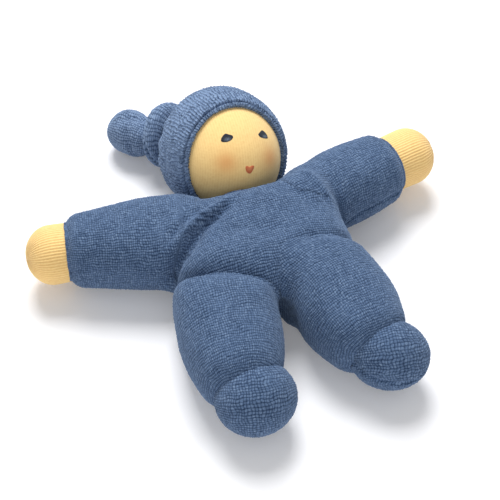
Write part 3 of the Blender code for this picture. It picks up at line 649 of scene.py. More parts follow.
@dataclass(frozen=True)
class Wrap:
    """How a limb's cloth is laid: rays that fan back at the root and close over the end."""

    limb: Limb
    root_stay: float
    end_stay: float
    root_tilt: Tilt = (POLE_TILT,) * 4
    end_tilt: float = POLE_TILT
    root_share: float = 0.22
    end_share: float = 0.16
    span: tuple[float, float] = FULL_TURN

    def rays(self, rows: Array, turns: Array) -> tuple[Array, Array]:
        """Starts and directions of the rays.

        Args:
            rows: Shares along the limb, 0 at the root and 1 at the end.
            turns: Angles round the limb, 0 to the side and a quarter turn up.

        Returns:
            The starts and the directions.
        """
        along, side, up, length = self.limb.axes()
        middle = np.clip((rows - self.root_share) / (1 - self.root_share - self.end_share), 0, 1)
        place = self.root_stay + (length - self.root_stay - self.end_stay) * middle
        cosine, sine = np.cos(turns), np.sin(turns)
        right, top, left, under = self.root_tilt
        tilt = (right * np.clip(cosine, 0, 1) ** 2 + left * np.clip(-cosine, 0, 1) ** 2
                + top * np.clip(sine, 0, 1) ** 2 + under * np.clip(-sine, 0, 1) ** 2)
        back = np.clip((self.root_share - rows) / self.root_share, 0, 1) * tilt
        ahead = np.clip((rows - 1 + self.end_share) / self.end_share, 0, 1) * self.end_tilt
        lean = np.radians(ahead - back)[..., None]
        radial = cosine[..., None] * side + sine[..., None] * up
        return (np.asarray(self.limb.start) + along * place[..., None],
                radial * np.cos(lean) + along * np.sin(lean))

    def grid(self, shape: Shape, step: float, reach: float) -> Cloth:
        """Lays an even grid on the surface of a shape.

        Args:
            shape: Field, negative inside.
            step: Distance between grid points in millimetres.
            reach: Longest ray in millimetres.

        Returns:
            The cloth, with rows that run round the limb.
        """
        closed = self.span == FULL_TURN
        coarse_rows, coarse_turns = np.linspace(0, 1, ROUGH_ROWS), np.linspace(*self.span, ROUGH_TURNS)
        starts, ways = self.rays(*np.meshgrid(coarse_rows, coarse_turns, indexing="ij"))
        rough = cast(shape, starts, ways, reach, ROUGH_HALVINGS)
        depth = np.linalg.norm(rough - starts, axis=-1)
        down = run_length(np.swapaxes(rough, 0, 1)).mean(axis=0)
        round_way = run_length(rough)
        girth = float(np.median(round_way[:, -1]))
        row_count, turn_count = max(8, int(down[-1] / step)), max(12, int(girth / step))
        places = np.interp(np.linspace(0, down[-1], row_count), down, np.arange(ROUGH_ROWS))
        share = np.linspace(0, 1, turn_count, endpoint=not closed)
        table = np.stack([np.interp(share * line[-1], line, coarse_turns) for line in round_way])
        low = np.minimum(places.astype(int), ROUGH_ROWS - 2)
        part = (places - low)[:, None]
        turns = table[low] * (1 - part) + table[low + 1] * part
        fine_rows = np.interp(places, np.arange(ROUGH_ROWS), coarse_rows)
        starts, ways = self.rays(np.repeat(fine_rows[:, None], turn_count, axis=1), turns)
        column = (turns - self.span[0]) / (self.span[1] - self.span[0]) * (ROUGH_TURNS - 1)
        left = np.minimum(column.astype(int), ROUGH_TURNS - 2)
        blend = column - left
        upper, lower = (depth[line, left] * (1 - blend) + depth[line, left + 1] * blend
                        for line in (low[:, None], low[:, None] + 1))
        guess = upper * (1 - part) + lower * part
        points = halve(shape, starts, ways, np.maximum(guess - NEAR_SLACK, 0), guess + NEAR_SLACK, NEAR_HALVINGS)
        laid = run_length(np.swapaxes(points, 0, 1)).T
        along = np.repeat((share * girth)[None, :], row_count, axis=0)
        return Cloth(points, laid - laid[row_count // 2], along, closed)


def put_in_scene(name: str, data: bpy.types.ID) -> bpy.types.Object:
    """Makes an object and puts it in the scene."""
    made = bpy.data.objects.new(name, data)
    bpy.context.scene.collection.objects.link(made)
    return made


def face_corners(grid: Array) -> Array:
    """The numbers at the four corners of each face of a grid."""
    return np.stack((grid[:-1, :-1], grid[1:, :-1], grid[1:, 1:], grid[:-1, 1:]), axis=-1).reshape(-1, 4)


def build_mesh(name: str, cloth: Cloth, outward_from: Sequence[float]) -> bpy.types.Object:
    """Makes a mesh object from a grid of cloth, pressed flat where it would sink in to the floor.

    Args:
        name: The piece's name.
        cloth: The grid, in millimetres.
        outward_from: A place inside, which the faces turn away from.

    Returns:
        The object, with its own unwrapped map and its marks as attributes of the faces' corners.
    """
    rows, columns = cloth.points.shape[:2]
    index = np.arange(rows * columns).reshape(rows, columns)
    wrap = np.concatenate((index, index[:, :1]), axis=1) if cloth.closed else index
    quads = face_corners(wrap)
    margin, width = 0.002, wrap.shape[1]
    places = np.meshgrid(np.linspace(margin, 1 - margin, width), np.linspace(margin, 1 - margin, rows))
    corners = np.stack([face_corners(place) for place in places], axis=-1)
    flat = cloth.points.reshape(-1, 3).copy()
    flat[:, 2] = np.maximum(flat[:, 2], FLOOR_LIFT)
    facing = np.cross(flat[quads[:, 2]] - flat[quads[:, 0]], flat[quads[:, 3]] - flat[quads[:, 1]])
    turned = -1 if np.sum(facing * (flat[quads].mean(axis=1) - np.asarray(outward_from))) < 0 else 1
    quads, corners = quads[:, ::turned], corners[:, ::turned]
    mesh = bpy.data.meshes.new(name)
    mesh.vertices.add(len(flat))
    mesh.vertices.foreach_set("co", (flat * MM).astype(np.float32).ravel())
    mesh.loops.add(quads.size)
    mesh.loops.foreach_set("vertex_index", quads.astype(np.int32).ravel())
    mesh.polygons.add(len(quads))
    mesh.polygons.foreach_set("loop_start", np.arange(0, quads.size, 4, dtype=np.int32))
    mesh.update(calc_edges=True)
    mesh.uv_layers.new(name="OFBake").data.foreach_set("uv", corners.astype(np.float32).ravel())
    for key, values in cloth.marks.items():
        if cloth.closed:
            # Rows and loops are counted on over the join, the other marks come round to their start
            counted = key in ("row", "loop")
            step = np.round(2 * values[:, -1:] - values[:, -2:-1] - values[:, :1]) if counted else 0.0
            values = np.concatenate((values, values[:, :1] + step), axis=1)
        spread = face_corners(values)[:, ::turned]
        mark = mesh.attributes.new(key, "FLOAT", "CORNER")
        mark.data.foreach_set("value", spread.astype(np.float32).ravel())
    mesh.shade_smooth()
    LOG.info("%s: %d points", name, len(flat))
    return put_in_scene(name, mesh)


# Shading


class Sockets:
    """Makes shader nodes, each through one method."""

    def __init__(self, name: str, roughness: float, sheen: float, tint: Colour = WHITE) -> None:
        """Makes the material.

        Args:
            name: The material's name.
            roughness: Its roughness.
            sheen: Weight of its sheen.
            tint: Colour of its sheen.
        """
        self.material = bpy.data.materials.new(name)
        self.material.use_nodes = True
        self.tree = self.material.node_tree
        self.shader = self.tree.nodes["Principled BSDF"]
        for key, value in (("Roughness", roughness), ("Specular IOR Level", 0.12), ("Sheen Weight", sheen),
                           ("Sheen Roughness", 0.6), ("Sheen Tint", tint)):
            self.shader.inputs[key].default_value = value

    def node(self, kind: str, settings: dict[str, object], inputs: dict[object, object]) -> bpy.types.Node:
        """Makes a node.

        Args:
            kind: The node's type.
            settings: Its own properties.
            inputs: Values or links by socket.

        Returns:
            The node.
        """
        made = self.tree.nodes.new(kind)
        for key, value in settings.items():
            setattr(made, key, value)
        for key, value in inputs.items():
            self.put(made.inputs[key], value)
        return made

    def put(self, socket: bpy.types.NodeSocket, value: object) -> None:
        """Links or sets an input.

        Args:
            socket: The input.
            value: A shader number, another node's output or a plain value.
        """
        if isinstance(value, Value):
            self.tree.links.new(value.socket, socket)
        elif isinstance(value, bpy.types.NodeSocket):
            self.tree.links.new(value, socket)
        else:
            socket.default_value = value

    def mark(self, name: str) -> "Value":
        """A mark of the cloth as a number."""
        return Value(self, self.node("ShaderNodeAttribute", {"attribute_name": name}, {}).outputs["Fac"])

    def noise(self, scale: float, detail: float = 2.0) -> "Value":
        """Noise in object space, from 0 to 1.

        Args:
            scale: How fine it is, in lumps to a metre.
            detail: How many finer layers it has.

        Returns:
            The noise.
        """
        place = self.node("ShaderNodeTexCoord", {}, {}).outputs["Object"]
        made = self.node("ShaderNodeTexNoise", {}, {"Vector": place, "Scale": scale, "Detail": detail})
        return Value(self, made.outputs["Fac"])

    def chance(self, first: "Value", second: "Value") -> "Value":
        """A random number from 0 to 1 for each pair of whole numbers."""
        pair = self.node("ShaderNodeCombineXYZ", {}, {0: first, 1: second}).outputs[0]
        made = self.node("ShaderNodeTexWhiteNoise", {"noise_dimensions": "2D"}, {"Vector": pair})
        return Value(self, made.outputs["Value"])

    def mixed(self, share: "Value | float", first: object, second: object) -> bpy.types.NodeSocket:
        """Mixes two colours."""
        return self.node("ShaderNodeMix", {"data_type": "RGBA"}, {0: share, 6: first, 7: second}).outputs[2]

    def colour(self, value: object) -> None:
        """Sets the base colour."""
        self.put(self.shader.inputs["Base Color"], value)

    def bump(self, height: "Value", distance: float, strength: float) -> None:
        """Roughens the surface with a bump."""
        made = self.node("ShaderNodeBump", {}, {"Height": height, "Distance": distance, "Strength": strength})
        self.put(self.shader.inputs["Normal"], made.outputs["Normal"])


class Value:
    """A shader number that can be reckoned with."""

    def __init__(self, maker: Sockets, socket: bpy.types.NodeSocket) -> None:
        """Keeps the socket and what makes its nodes."""
        self.maker, self.socket = maker, socket

    def reckon(self, operation: str, *others: object, first: object = None, clamp: bool = False) -> "Value":
        """Makes a math node.

        Args:
            operation: What it works out.
            others: What follows this number.
            first: What comes before this number, if anything.
            clamp: Whether the result is held between 0 and 1.

        Returns:
            The result.
        """
        terms = ([self] if first is None else [first, self]) + list(others)
        made = self.maker.node("ShaderNodeMath", {"operation": operation, "use_clamp": clamp},
                               dict(enumerate(terms)))
        return Value(self.maker, made.outputs[0])

    def __add__(self, other: object) -> "Value":
        """Adds."""
        return self.reckon("ADD", other)

    def __radd__(self, other: object) -> "Value":
        """Adds to a plain number."""
        return self.reckon("ADD", first=other)

    def __sub__(self, other: object) -> "Value":
        """Subtracts."""
        return self.reckon("SUBTRACT", other)

    def __rsub__(self, other: object) -> "Value":
        """Subtracts from a plain number."""
        return self.reckon("SUBTRACT", first=other)

    def __mul__(self, other: object) -> "Value":
        """Multiplies."""
        return self.reckon("MULTIPLY", other)

    def __rmul__(self, other: object) -> "Value":
        """Multiplies a plain number."""
        return self.reckon("MULTIPLY", first=other)

    def __truediv__(self, other: object) -> "Value":
        """Divides."""
        return self.reckon("DIVIDE", other)

    def __rtruediv__(self, other: object) -> "Value":
        """Divides a plain number."""
        return self.reckon("DIVIDE", first=other)

    def __pow__(self, other: object) -> "Value":
        """Raises to a power."""
        return self.reckon("POWER", other)

    def __rpow__(self, other: object) -> "Value":
        """Raises a plain number."""
        return self.reckon("POWER", first=other)

    def clamped(self) -> "Value":
        """Held between 0 and 1."""
        return self.reckon("ADD", 0.0, clamp=True)


@dataclass(frozen=True)
class TerryFinish:
    """Cotton terry, with painted shade between its loops and a painted highlight on their tops."""

    name: str
    # Painted shade: the valley colour darkens the cloth between the loops and rows, where shade falls.
    valley: Colour = (0.004, 0.016, 0.050, 1)
    crest: Colour = (0.090, 0.150, 0.270, 1)
    # Painted highlight: this colour lightens the tops of the loops.
    painted_highlight: Colour = (0.218, 0.302, 0.436, 1)
    sheen: float = 0.28
    sheen_tint: Colour = (0.55, 0.72, 1.0, 1)
    roughness: float = 0.92
    wander: float = 0.7
    roundness: float = 0.8

    def make(self) -> bpy.types.Material:
        """Builds the material."""
        kit = Sockets(self.name, self.roughness, self.sheen, self.sheen_tint)
        row = kit.mark("row") + (kit.noise(430.0, 1.0) - 0.5) * self.wander
        loop = kit.mark("loop") + (kit.noise(390.0, 1.0) - 0.5) * self.wander
        strand = kit.mark("strand")
        luck = kit.chance(row.reckon("FLOOR"), loop.reckon("FLOOR"))
        side, part = row.reckon("FRACT") - 0.5, loop.reckon("FRACT") - 0.5
        ridge = (1 - side * side * 4.0).clamped() ** self.roundness
        bead = (1 - part * part * 3.8).clamped() ** self.roundness
        pile = ridge * (strand + bead * (1 - strand)) * (luck * 0.4 + 0.6)
        soft = kit.noise(95.0)
        fuzz = kit.noise(1200.0, 3.0)
        # Painted shade: the colour sinks to the valley colour between the loops; the noise adds random tone.
        share = (pile * 1.4 + 0.07 + (soft - 0.5) * 0.4 + (fuzz - 0.5) * 0.9).clamped()
        body = kit.mixed(share, self.valley, self.crest)
        # Painted highlight on the loop tops, broken up at random by luck and fuzz.
        light = (pile ** 2.0 * (luck * 0.5 + (fuzz - 0.5) * 3.0)).clamped()
        kit.colour(kit.mixed(light, body, self.painted_highlight))
        kit.bump(kit.noise(2600.0, 3.0), 0.0003, 0.7)
        return kit.material


@dataclass(frozen=True)
class JerseyFinish:
    """Fine cotton jersey, with painted shade in its rib grooves and a blush where the mark says so."""

    name: str
    # Painted shade: low is the colour in the grooves between the ribs, high on the rib tops.
    low: Colour = (0.78, 0.46, 0.16, 1)
    high: Colour = (0.99, 0.72, 0.31, 1)
    blush: Colour = (0.80, 0.37, 0.12, 1)
    sheen: float = 0.2
    roughness: float = 0.85

    def make(self) -> bpy.types.Material:
        """Builds the material."""
        kit = Sockets(self.name, self.roughness, self.sheen)
        pile, tone, soft = kit.mark("pile"), kit.mark("tone"), kit.noise(900.0)
        # Painted shade: the rib mark darkens the grooves towards the low colour; tone and noise add random
        # differences.
        share = (pile * 0.75 + tone * 0.15 + soft * 0.5 - 0.15).clamped()
        body = kit.mixed(share, self.low, self.high)
        kit.colour(kit.mixed((kit.mark("blush") * (0.8 + soft * 0.4)).clamped(), body, self.blush))
        kit.bump(kit.noise(3000.0, 2.0), 0.0002, 0.4)
        return kit.material


@dataclass(frozen=True)
class StitchFinish:
    """Thread: one colour with fine fibres, lighter where the pile mark is high."""

    name: str
    low: Colour
    high: Colour
    fineness: float = 1800.0
    sheen: float = 0.1
    roughness: float = 0.9

    def make(self) -> bpy.types.Material:
        """Builds the material."""
        kit = Sockets(self.name, self.roughness, self.sheen)
        soft = kit.noise(self.fineness, 3.0)
        kit.colour(kit.mixed((kit.mark("pile") * 0.85 + soft * 0.15).clamped(), self.low, self.high))
        kit.bump(soft, 0.0002, 0.5)
        return kit.material


@dataclass
class Wardrobe:
    """The finishes that the pieces share."""

    finishes: dict[Slot, bpy.types.Material]

    def dress(self, piece: bpy.types.Object, slot: Slot) -> None:
        """Gives a piece the finish of its slot."""
        piece.data.materials.append(self.finishes[slot])


# Where the head, its neck and its cap lie

HEAD_TURN = math.radians(12.0)
HEAD_CENTRE = np.array((8.5, 91.7, 36.6))
HEAD_SIDE = np.array((math.cos(HEAD_TURN), 0.0, -math.sin(HEAD_TURN)))
NECK_BASE = np.array((0.0, 52.0, 28.0))
KNOT_WAY = np.array((-0.62394, 0.71777, -0.30902))
KNOT_CENTRE = HEAD_CENTRE + KNOT_WAY * 50.5


def face_way(rise: float, spread: float) -> Array:
    """Direction from the head's middle, by degrees of rise over the chin and of spread to the side."""
    rise, spread = np.radians(rise), np.radians(spread)
    x, y, z = np.sin(spread), -np.cos(spread) * np.cos(rise), np.cos(spread) * np.sin(rise)
    cosine, sine = math.cos(HEAD_TURN), math.sin(HEAD_TURN)
    return np.array((x * cosine + z * sine, y, z * cosine - x * sine))


@dataclass(frozen=True)
class Patch:
    """A stitched patch of the face: its direction in degrees, its outline and its light spot, in millimetres."""

    node: str
    slot: Slot
    rise: float
    spread: float
    reach: float
    outline: tuple[tuple[float, float], ...]
    light: tuple[float, float]


FACE = (
    Patch("right_eye", Slot.EYE, 52.1, -15.6, 38.5,
          ((-3.8, -1.4), (-3.2, 0.4), (-1.3, 2.4), (0.0, 2.8), (1.7, 2.0), (3.7, 1.1), (4.0, -0.3), (2.3, -1.9),
           (-0.4, -2.6), (-3.0, -2.2)), (0.4, -1.1)),
    Patch("left_eye", Slot.EYE, 51.8, 22.3, 38.4,
          ((-3.8, 0.5), (-2.0, 1.8), (0.7, 3.2), (2.8, 2.1), (4.2, -0.2), (3.8, -2.1), (0.8, -2.2), (-1.6, -1.7),
           (-3.1, -0.9)), (1.2, -1.2)),
    Patch("mouth", Slot.MOUTH, 23.3, 2.1, 43.1,
          ((-2.7, 1.7), (-1.6, 2.0), (-0.1, 1.3), (1.7, 1.8), (3.2, 1.4), (2.8, -0.2), (2.0, -1.4), (0.8, -2.8),
           (-0.8, -2.8), (-2.2, -1.5), (-2.8, 0.2)), (0.2, 0.0)),
)


# Pieces


@dataclass
class Torso:
    """The stuffed body, a front and a back panel that meet at the sides, and the collar."""

    wardrobe: Wardrobe
    axis: Limb = Limb((0.0, -26.0, 30.0), (0.0, 50.5, 28.0))
    stays: tuple[float, float] = (22.0, 30.0)
    tilt: float = 80.0
    fan_share: float = 0.28
    drawn_in: tuple[Point, Point] = ((0.0, -22.0, 30.0), (0.0, 40.0, 28.0))
    middle: Point = (0.0, 2.0, 28.0)
    collar_sizes: Point = (33.6, 14.4, 1.3)
    collar_counts: tuple[int, int] = (260, 36)
    collar_knit: tuple[float, float] = (18.0, 3.5)
    collar_loops: float = 0.4

    def panel(self, name: str, span: tuple[float, float], step: float, seed: int) -> bpy.types.Object:
        """Lays and builds one panel.

        Args:
            name: The piece's name.
            span: The angles between which it lies, from the left side up and round.
            step: Distance between grid points in millimetres.
            seed: Seed of the loops.

        Returns:
            The panel.
        """
        wrap = Wrap(self.axis, *self.stays, (self.tilt,) * 4, self.tilt, self.fan_share, self.fan_share, span)
        cloth = wrap.grid(under_field, step, LONG_REACH)
        offset = cloth.points - np.asarray(BODY.centre)
        laid = []
        for index in (0, 1):
            flat, place = BODY.half[index] - BODY.edge, offset[..., index]
            bend = np.arctan2(np.maximum(np.abs(place) - flat, 0), np.maximum(np.abs(offset[..., 2]), 1.0))
            laid.append(np.clip(place, -flat, flat) + np.sign(place) * bend * BODY.edge)
        cloth.along, cloth.across = laid
        terry(cloth, seed)
        return build_mesh(name, closed_in(cloth, *self.drawn_in), self.middle)

    def build(self) -> None:
        """Builds the panels and the collar."""
        front = self.panel("suit_front", (0.0, math.pi), GRID_STEP, 1)
        back = self.panel("suit_back", (math.pi, math.tau), BACK_STEP, 2)
        for piece, nodes in ((front, ("body_suit", "body_filling")), (back, ("body_suit",))):
            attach(piece, "torso")
            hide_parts(*nodes)
            self.wardrobe.dress(piece, Slot.SUIT)
        self.collar()

    def collar(self) -> None:
        """Builds the rolled edge round the neck."""
        middle = np.asarray(JAW.centre)
        way = unit(NECK_BASE - middle)
        cloth = roll(middle, way, self.collar_sizes, self.collar_counts, self.collar_knit)
        terry(cloth, 4, self.collar_loops, outward=1)
        piece = build_mesh("collar_cloth", cloth, middle + way * (self.collar_sizes[0] - 1.0))
        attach(piece, "torso")
        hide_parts("collar_roll")
        self.wardrobe.dress(piece, Slot.SUIT)


@dataclass
class StuffedLimb:
    """What the sleeves and the legs share."""

    wardrobe: Wardrobe
    side: str
    limb: Limb
    tilt: Tilt
    bend_from: Point
    bend_to: Point
    seed: int

    def lay(self, stays: tuple[float, float], end_tilt: float, margin: float) -> Cloth:
        """Lays the limb's cloth on the suit.

        Args:
            stays: How far from the root and from the end the first and the last rays start.
            end_tilt: How far the last rays lean, in degrees.
            margin: How far off the limb the cloth follows the suit, in millimetres.

        Returns:
            The cloth.
        """
        wrap = Wrap(self.limb, *stays, self.tilt, end_tilt)
        return wrap.grid(cover(self.limb, margin), GRID_STEP, LONG_REACH)

    def finish(self, cloth: Cloth, node: str, body: str) -> None:
        """Builds the limb's piece, with its place baked in to its mesh.

        Args:
            cloth: Its cloth.
            node: The skin's CAD node, without its side.
            body: The limb's body, without its side.
        """
        along, _, _, length = self.limb.axes()
        piece = build_mesh(f"{self.side}_{node}_cloth", cloth, np.asarray(self.limb.start) + along * length / 2)
        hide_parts(f"{self.side}_{node}", f"{self.side}_{body}_filling")
        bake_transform(piece)
        self.wardrobe.dress(piece, Slot.SUIT)


@dataclass
class Sleeve(StuffedLimb):
    """A stuffed sleeve that blends in to the body, and its hand."""

    hand: Limb
    stays: tuple[float, float] = (29.0, 14.0)
    end_tilt: float = 38.0
    margin: float = 9.0
    cuff_radius: float = 18.3
    cuff_depth: float = 12.0
    hand_stays: tuple[float, float] = (10.0, 18.0)
    rib_height: float = 0.42
    rib_fade: tuple[float, float] = (1.0, 8.0)

    def build(self) -> None:
        """Builds the sleeve and the hand."""
        along, _, _, length = self.limb.axes()
        cloth = swapped(self.lay(self.stays, self.end_tilt, self.margin))
        terry(cloth, self.seed)
        mouth = np.asarray(self.limb.start) + along * (length - 0.5)
        cloth = tube_end(cloth, mouth, along, self.cuff_radius, self.cuff_depth)
        self.finish(closed_in(cloth, self.limb.start, None), "sleeve", "arm")
        self.make_hand()

    def make_hand(self) -> None:
        """Builds the jersey hand, with ribs that fade at its tip."""
        along, _, _, length = self.hand.axes()
        wrap = Wrap(self.hand, *self.hand_stays, root_share=0.2, end_share=0.4)
        cloth = swapped(wrap.grid(self.hand.field, HAND_STEP, SHORT_REACH))
        offset = cloth.points - np.asarray(self.hand.start)
        off_axis = np.linalg.norm(offset - (offset @ along)[..., None] * along, axis=-1)
        girth = smooth_step(off_axis, *self.rib_fade)
        ribbed(cloth, self.rib_height * girth)
        # The painted rib shade fades with the ribs towards the tip.
        cloth.marks["pile"] = 0.6 + (cloth.marks["pile"] - 0.6) * girth
        piece = build_mesh(self.side + "_hand_cloth", cloth, np.asarray(self.hand.start) + along * length / 2)
        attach(piece, self.side + "_hand")
        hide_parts(self.side + "_hand", self.side + "_hand_filling", self.side + "_wrist_thread")
        self.wardrobe.dress(piece, Slot.SKIN)


@dataclass
class Leg(StuffedLimb):
    """A stuffed leg that blends in to the body, and its foot."""

    foot: Ball
    seam: Crease | None = None
    stays: tuple[float, float] = (19.0, 26.0)
    end_tilt: float = 58.0
    margin: float = 5.0
    cup_gap: float = 0.5
    drawn_in: float = 14.0
    foot_axis: float = 24.0
    foot_stay: float = 22.0
    foot_front: Point = (-0.12, -0.74, 0.66)
    foot_loops: Point = (0.75, 1.95, 1.8)

    def build(self) -> None:
        """Builds the leg and the foot."""
        cloth = self.lay(self.stays, self.end_tilt, self.margin)
        terry(cloth, self.seed)
        root = np.asarray(self.limb.start) + self.limb.axes()[0] * self.drawn_in
        self.finish(closed_in(cup_end(cloth, self.foot, self.cup_gap), root, None), "leg", "leg")
        self.make_foot()

    def foot_field(self, points: Array) -> Array:
        """The foot with its seam."""
        total = self.foot.field(points)
        return total - self.seam.offset(points) if self.seam else total

    def make_foot(self) -> None:
        """Builds the ball of the foot, with a knit that runs in rings round its front."""
        x, y, z = self.foot.centre
        axis = Limb((x - self.foot_axis, y, z), (x + self.foot_axis, y, z))
        wrap = Wrap(axis, self.foot_stay, self.foot_stay, root_share=0.46, end_share=0.46)
        cloth = wrap.grid(self.foot_field, GRID_STEP, SHORT_REACH)
        ways = unit((cloth.points - np.asarray(self.foot.centre)) / np.asarray(self.foot.half))
        front = unit(np.array(self.foot_front))
        right = unit(np.cross((0.0, 0.0, 1.0), -front))
        round_part = unit(ways - (ways @ front)[..., None] * front)
        reach = np.arccos(np.clip(ways @ front, -1, 1)) * self.foot.half[2]
        cloth.along, cloth.across = (round_part @ right) * reach, (round_part @ np.cross(front, right)) * reach
        terry(cloth, self.seed + 20, *self.foot_loops)
        piece = build_mesh(self.side + "_foot_cloth", cloth, self.foot.centre)
        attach(piece, self.side + "_foot")
        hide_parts(self.side + "_foot", self.side + "_foot_filling")
        self.wardrobe.dress(piece, Slot.SUIT)


@dataclass
class Head:
    """The jersey head on its neck, and the face's patches."""

    wardrobe: Wardrobe
    axis_half: float = 33.0
    stay: float = 31.0
    reach: float = 70.0
    rib_height: float = 0.08
    blushes: tuple[tuple[float, float], ...] = ((29.5, -18.1), (29.3, 25.4))
    blush_depth: float = 0.75
    blush_width: float = 9.0
    neck_radius: float = 12.4
    neck_span: tuple[float, float] = (-19.0, 9.0)
    neck_counts: tuple[int, int] = (180, 60)
    neck_ribs: float = 0.1
    thread_sizes: Point = (5.6, 13.0, 0.8)
    thread_counts: tuple[int, int] = (180, 14)

    def build(self) -> None:
        """Builds the head, the neck and the face."""
        half = HEAD_SIDE * self.axis_half
        axis = Limb(tuple(HEAD_CENTRE - half), tuple(HEAD_CENTRE + half))
        wrap = Wrap(axis, self.stay, self.stay, root_share=0.47, end_share=0.47)
        cloth = wrap.grid(head_field, HEAD_STEP, self.reach)
        ways = unit(cloth.points - np.asarray(CHEEKS.centre))
        ribbed(cloth, self.rib_height)
        # Softens the painted rib shade on the face.
        cloth.marks["pile"] = 0.45 + 0.3 * cloth.marks["pile"]
        for rise, spread in self.blushes:
            gap = np.degrees(np.arccos(np.clip(ways @ face_way(rise, spread), -1, 1)))
            cloth.marks["blush"] += self.blush_depth * bell(gap, 0.0, self.blush_width)
        piece = build_mesh("head_cloth", cloth, HEAD_CENTRE)
        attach(piece, "head")
        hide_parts("head_skin", "head_filling")
        self.wardrobe.dress(piece, Slot.SKIN)
        self.neck()
        for patch in FACE:
            self.patch(patch)

    def neck(self) -> None:
        """Builds the neck and its thread."""
        way = unit(HEAD_CENTRE - NECK_BASE)
        turns = np.linspace(0, math.tau, self.neck_counts[0], endpoint=False)
        places = np.linspace(*self.neck_span, self.neck_counts[1])[:, None]
        points = NECK_BASE + way * places[..., None] + ring_round(way, turns) * self.neck_radius
        cloth = Cloth(points, *np.broadcast_arrays(turns * self.neck_radius, places), True)
        ribbed(cloth, self.neck_ribs, 1)
        cloth = closed_in(cloth, *(NECK_BASE + way * place for place in self.neck_span))
        piece = build_mesh("neck_cloth", cloth, NECK_BASE)
        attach(piece, "neck_post")
        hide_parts("neck")
        self.wardrobe.dress(piece, Slot.SKIN)
        cloth = roll(NECK_BASE, way, self.thread_sizes, self.thread_counts, (self.thread_sizes[1], 1.0))
        cloth.marks["pile"] = 0.5 + 0.5 * np.sin(cloth.across / 0.6 + cloth.along)
        piece = build_mesh("neck_thread_cord", cloth, NECK_BASE)
        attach(piece, "neck_post")
        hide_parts("neck_thread")
        self.wardrobe.dress(piece, Slot.THREAD)

    def patch(self, patch: Patch) -> None:
        """Builds a domed stitched patch on the face.

        Args:
            patch: Where it lies and its outline.
        """
        middle = face_way(patch.rise, patch.spread)
        up = unit(np.cross(middle, HEAD_SIDE))
        side = np.cross(up, middle)
        knots = np.array(patch.outline + patch.outline[:1])
        places = np.linspace(0, 1, 110, endpoint=False)
        outline = np.stack((curve_at(knots[:, 0], places), curve_at(knots[:, 1], places)), axis=-1)
        shares = np.linspace(0.02, 1.0, 30)[:, None, None]
        spots = outline[None] * shares
        centre = np.asarray(CHEEKS.centre)
        ways = unit(middle * patch.reach + spots[..., :1] * side + spots[..., 1:] * up)
        points = cast(head_field, centre, ways, SHORT_REACH, FINE_HALVINGS)
        points = points + ways * (0.10 + 0.34 * (1 - shares ** 3))
        light = bell(spots[..., 0], patch.light[0], 1.9) * bell(spots[..., 1], patch.light[1], 1.1)
        shine = light * (0.6 + 0.4 * np.sin(spots[..., 0] * 7.0))
        cloth = Cloth(points, spots[..., 0], spots[..., 1], True, {"pile": shine})
        cloth = closed_in(cloth, None, centre + middle * (patch.reach - 2.0))
        piece = build_mesh(patch.node + "_patch", cloth, HEAD_CENTRE)
        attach(piece, "head")
        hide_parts(patch.node)
        self.wardrobe.dress(piece, patch.slot)


